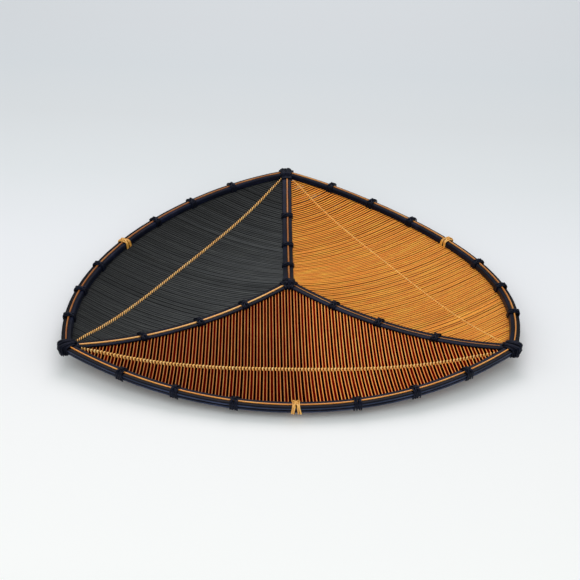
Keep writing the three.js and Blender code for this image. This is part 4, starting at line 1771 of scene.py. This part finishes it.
@dataclass(frozen=True)
class Bindings:
    """All the ties and knots."""

    rim_ties: int = 7
    rim_spacing: float = 66.0
    rib_distances: tuple[float, ...] = (62.0, 122.0, 195.0)
    # Each corner knot's bunches, its reach along either rim, and how far it swells outwards.
    corners: ClassVar[dict[str, tuple[tuple[float, ...], tuple[float, float], float]]] = {
        "left": ((-0.55, 0.35), (1.0, 0.75), 2.6),
        "right": ((-0.4, 0.5), (0.85, 1.0), 2.6),
        "back": ((-0.35, 0.6), (0.8, 0.85), 0.6),
    }

    def build(self, troughs: dict[str, Trough]) -> None:
        """Builds every tie and knot.

        Args:
            troughs: The troughs by petal name.
        """
        for petal in PETALS:
            middle = (self.rim_ties - 1) // 2
            for i in range(self.rim_ties):
                distance = (i - middle) * self.rim_spacing + petal.tie_shift
                Tie(f"{petal.name}_rim_tie_{i + 1}", petal, RIM_BUNDLE, self._on_rim(petal, distance),
                    i == middle, petal.tie_nudge).build()
            for i, distance in enumerate(self.rib_distances):
                Tie(f"{petal.rib}_rib_tie_{i + 1}", petal, RIB_BUNDLE, self._on_rib(distance)).build()
            CornerKnot(petal, *self.corners[petal.rib]).build()
        HubKnot(troughs["front"]).build()

    @staticmethod
    def _on_rim(petal: Petal, distance: float) -> Callable[[float], Station]:
        """Stations along a rim, from a distance."""
        return lambda s: PLAN.rim_station(petal.skew, (distance + s) / PLAN.rim_half_length)

    @staticmethod
    def _on_rib(distance: float) -> Callable[[float], Station]:
        """Stations along a rib, from a distance."""
        return lambda s: PLAN.rib_station(distance + s)


# ---------------------------------------------------------------------------------------------
# Floor, light and camera


@dataclass(frozen=True)
class Studio:
    """A plain pale floor, soft light and the camera at the photograph's angle."""

    distance: float = 1654.811
    elevation: float = 0.55
    azimuth: float = 0.019
    roll: float = -0.0142
    aside: float = -1.582
    above: float = 14.022
    magnification: float = 0.828
    frame_px: float = 580.0
    sensor: float = 36.0
    floor_half: float = 4.0
    # How much further the floor's painted shade reaches on the right.
    floor_slant: float = 0.08
    # Painted shade that greys the floor towards the back, from 1 m in front of the tray's middle to 1.5
    # m behind it.
    floor_tones: tuple[tuple[float, str], ...] = (
        (0.0, "#fffdfe"), (0.2, "#fefcfd"), (0.28, "#f8f6f8"), (0.36, "#efeef2"), (0.44, "#e6e6eb"),
        (0.52, "#d9dbdf"), (0.6, "#d0d2d6"), (0.68, "#cbced3"), (0.76, "#cbcdd2"), (1.0, "#cdcfd4"),
    )

    def build(self) -> None:
        """Builds the floor, the lights and the camera."""
        self._floor()
        self._world()
        self._lights()
        self._camera()
        bpy.context.scene.view_settings.view_transform = "Standard"

    def _floor(self) -> None:
        """A wide pale floor, white in front and painted greyer behind and a little to the right: painted
        shade, where less light falls.
        """
        mesh = bpy.data.meshes.new("floor")
        r = self.floor_half
        mesh.from_pydata([(-r, -r, 0), (r, -r, 0), (r, r, 0), (-r, r, 0)], [], [(0, 1, 2, 3)])
        floor = bpy.data.objects.new("floor", mesh)
        bpy.context.scene.collection.objects.link(floor)
        material = bpy.data.materials.new("pale_paper_floor")
        tree = fresh_tree(material)
        place = add_node(tree, "ShaderNodeTexCoord").outputs["Object"]
        x, y, _ = add_node(tree, "ShaderNodeSeparateXYZ", {0: place}).outputs
        depth = maths(tree, "ADD", y, maths(tree, "MULTIPLY", x, self.floor_slant))
        ramp = add_node(tree, "ShaderNodeValToRGB", {0: remap(tree, depth, -1.0, 1.5)})
        tones = ramp.color_ramp.elements
        tones[0].color, tones[1].color = (linear(self.floor_tones[end][1]) for end in (0, -1))
        for position, tone in self.floor_tones[1:-1]:
            tones.new(position).color = linear(tone)
        shader = add_node(tree, "ShaderNodeBsdfPrincipled", {
            "Base Color": ramp.outputs[0], "Roughness": 0.9, "Specular IOR Level": 0.1,
        })
        add_node(tree, "ShaderNodeOutputMaterial", {"Surface": shader.outputs[0]})
        mesh.materials.append(material)

    def _world(self) -> None:
        """A pale surrounding, bright in front and dim behind, where the backdrop darkens."""
        world = bpy.data.worlds.new("studio")
        tree = fresh_tree(world)
        ways = add_node(tree, "ShaderNodeTexCoord").outputs["Generated"]
        _, behind, _ = add_node(tree, "ShaderNodeSeparateXYZ", {0: ways}).outputs
        shade = add_node(tree, "ShaderNodeBackground", {
            "Color": linear("#edf4f1"), "Strength": remap(tree, behind, -0.4, 0.8, 1.22, 0.28),
        })
        add_node(tree, "ShaderNodeOutputWorld", {"Surface": shade.outputs[0]})
        bpy.context.scene.world = world

    def _lights(self) -> None:
        """A soft light above and behind, and a weaker one on the left."""
        self._light("key_light", (0.1, 1.1, 1.75), 1.5, 15.5)
        self._light("fill_light", (-1.5, 0.0, 1.3), 1.0, 2.0)

    @staticmethod
    def _light(name: str, place: tuple[float, float, float], size: float, power: float) -> None:
        """One square area light that looks at the tray.

        Args:
            name: Its name.
            place: Where it hangs, in metres.
            size: Its side.
            power: Its watts.
        """
        lamp = bpy.data.lights.new(name, "AREA")
        lamp.shape = "SQUARE"
        lamp.size = size
        lamp.energy = power
        lamp.color = linear("#fff8fb")[:3]
        piece = bpy.data.objects.new(name, lamp)
        piece.location = place
        piece.rotation_euler = Vector(place).to_track_quat("Z", "Y").to_euler()
        bpy.context.scene.collection.objects.link(piece)

    def _camera(self) -> None:
        """The camera, from the view's angles and the sizes that the tray has in the photograph."""
        c, s = math.cos(self.elevation), math.sin(self.elevation)
        back = np.array([0.0, -c, s])
        right = np.array([1.0, 0.0, 0.0])
        above = np.array([0.0, s, c])
        place = back * self.distance - right * self.aside - above * self.above
        rc, rs = math.cos(self.roll), math.sin(self.roll)
        axes = [right * rc - above * rs, right * rs + above * rc, back]
        place = spin(place, -self.azimuth) + ORIGIN
        axes = [spin(axis, -self.azimuth) for axis in axes]
        lens = bpy.data.cameras.new("camera")
        lens.sensor_fit = "HORIZONTAL"
        lens.sensor_width = self.sensor
        lens.lens = self.magnification * self.distance * self.sensor / self.frame_px
        lens.clip_start, lens.clip_end = 0.05, 20.0
        camera = bpy.data.objects.new("camera", lens)
        matrix = Matrix.Identity(4)
        for column, vector in enumerate((*axes, place * MM)):
            for row, value in enumerate(vector):
                matrix[row][column] = float(value)
        camera.matrix_world = matrix
        bpy.context.scene.collection.objects.link(camera)
        bpy.context.scene.camera = camera


FRONT_KINDS = (
    StripKind("natural", Finish.PALE_STRIP, 1.22),
    StripKind("red", Finish.RED_STRIP, 2.7, Layer.BETWEEN, 1.1),
    StripKind("black", Finish.BLACK_STRIP, 2.7, Layer.BETWEEN, 1.1),
)
RIGHT_KINDS = (
    StripKind("amber", Finish.AMBER_STRIP, 1.36),
    StripKind("amber_packing", Finish.AMBER_PACKING, 2.0, Layer.PACKING, 0.6),
)
LEFT_KINDS = (
    StripKind("smoked", Finish.SMOKED_STRIP, 1.4),
    StripKind("smoked_packing", Finish.SMOKED_PACKING, 2.0, Layer.PACKING, 0.6),
)
SHEETS = (
    StripSheet(
        PETALS[0], "mixed_strips", FRONT_KINDS, order=(0, 1, 0, 2), offsets=(0.0, 1.85), pitch=3.7,
        lean_out=((-240, -0.01), (-100, -0.005), (-40, -0.012), (20, 0.03), (60, 0.06), (240, 0.05)),
        lean_in=((-240, 0.0), (0, 0.01), (100, 0.02), (240, 0.09)),
        unevenness=1.0, slack=0.08, chance=0.1,
        # Painted light: the tones rise from left to right, for the light that falls from the left on
        # this trough.
        tones=((-60, 0.1), (0, 0.22), (30, 0.8), (75, 1.0), (120, 0.8), (240, 0.8)),
        widths=((0, 1.0), (50, 1.08)),
    ),
    StripSheet(
        PETALS[1], "natural_strips", RIGHT_KINDS, order=(0, 0, 1), offsets=(-0.68, 0.68, 1.875),
        pitch=3.75, unevenness=1.6, slack=0.42, chance=0.5,
        tones=((40, 0.5), (120, 0.75), (240, 0.75)), widths=((30, 1.0), (90, 0.83), (240, 0.64)),
    ),
    StripSheet(
        PETALS[2], "black_strips", LEFT_KINDS, order=(0, 0, 1), offsets=(-0.69, 0.69, 1.86),
        pitch=3.72, unevenness=1.2, slack=0.42, chance=0.5,
        tones=((0, 0.5),), widths=((-120, 0.95), (0, 1.0)),
    ),
)
TWININGS = (
    Twining(PETALS[0], pitch=3.7, half_depth=2.2, width=1.75, thickness=0.8, rise=1.9, slant=-1.2,
            bulge=1.1, skew=-0.012),
    Twining(PETALS[1], pitch=3.75, half_depth=1.0, width=1.3, thickness=1.0, rise=0.8, slant=-1.3,
            finish=Finish.AMBER_PEEL),
    Twining(PETALS[2], pitch=3.8, half_depth=1.5, width=1.3, thickness=0.9, rise=1.8, slant=-2.2,
            finish=Finish.HONEY_PEEL),
)


def main() -> None:
    """Builds the tray's looks, the studio and the camera."""
    logging.basicConfig(level=logging.INFO, format="%(name)s %(message)s")
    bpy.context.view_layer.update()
    Studio().build()
    troughs = {petal.name: Trough(petal) for petal in PETALS}
    for petal in PETALS:
        Rim(petal).build()
        Rib(petal).build()
    for sheet in SHEETS:
        sheet.build(troughs[sheet.petal.name])
    for twining in TWININGS:
        twining.build(troughs[twining.petal.name])
    Bindings().build(troughs)


if __name__ == "__main__":
    main()
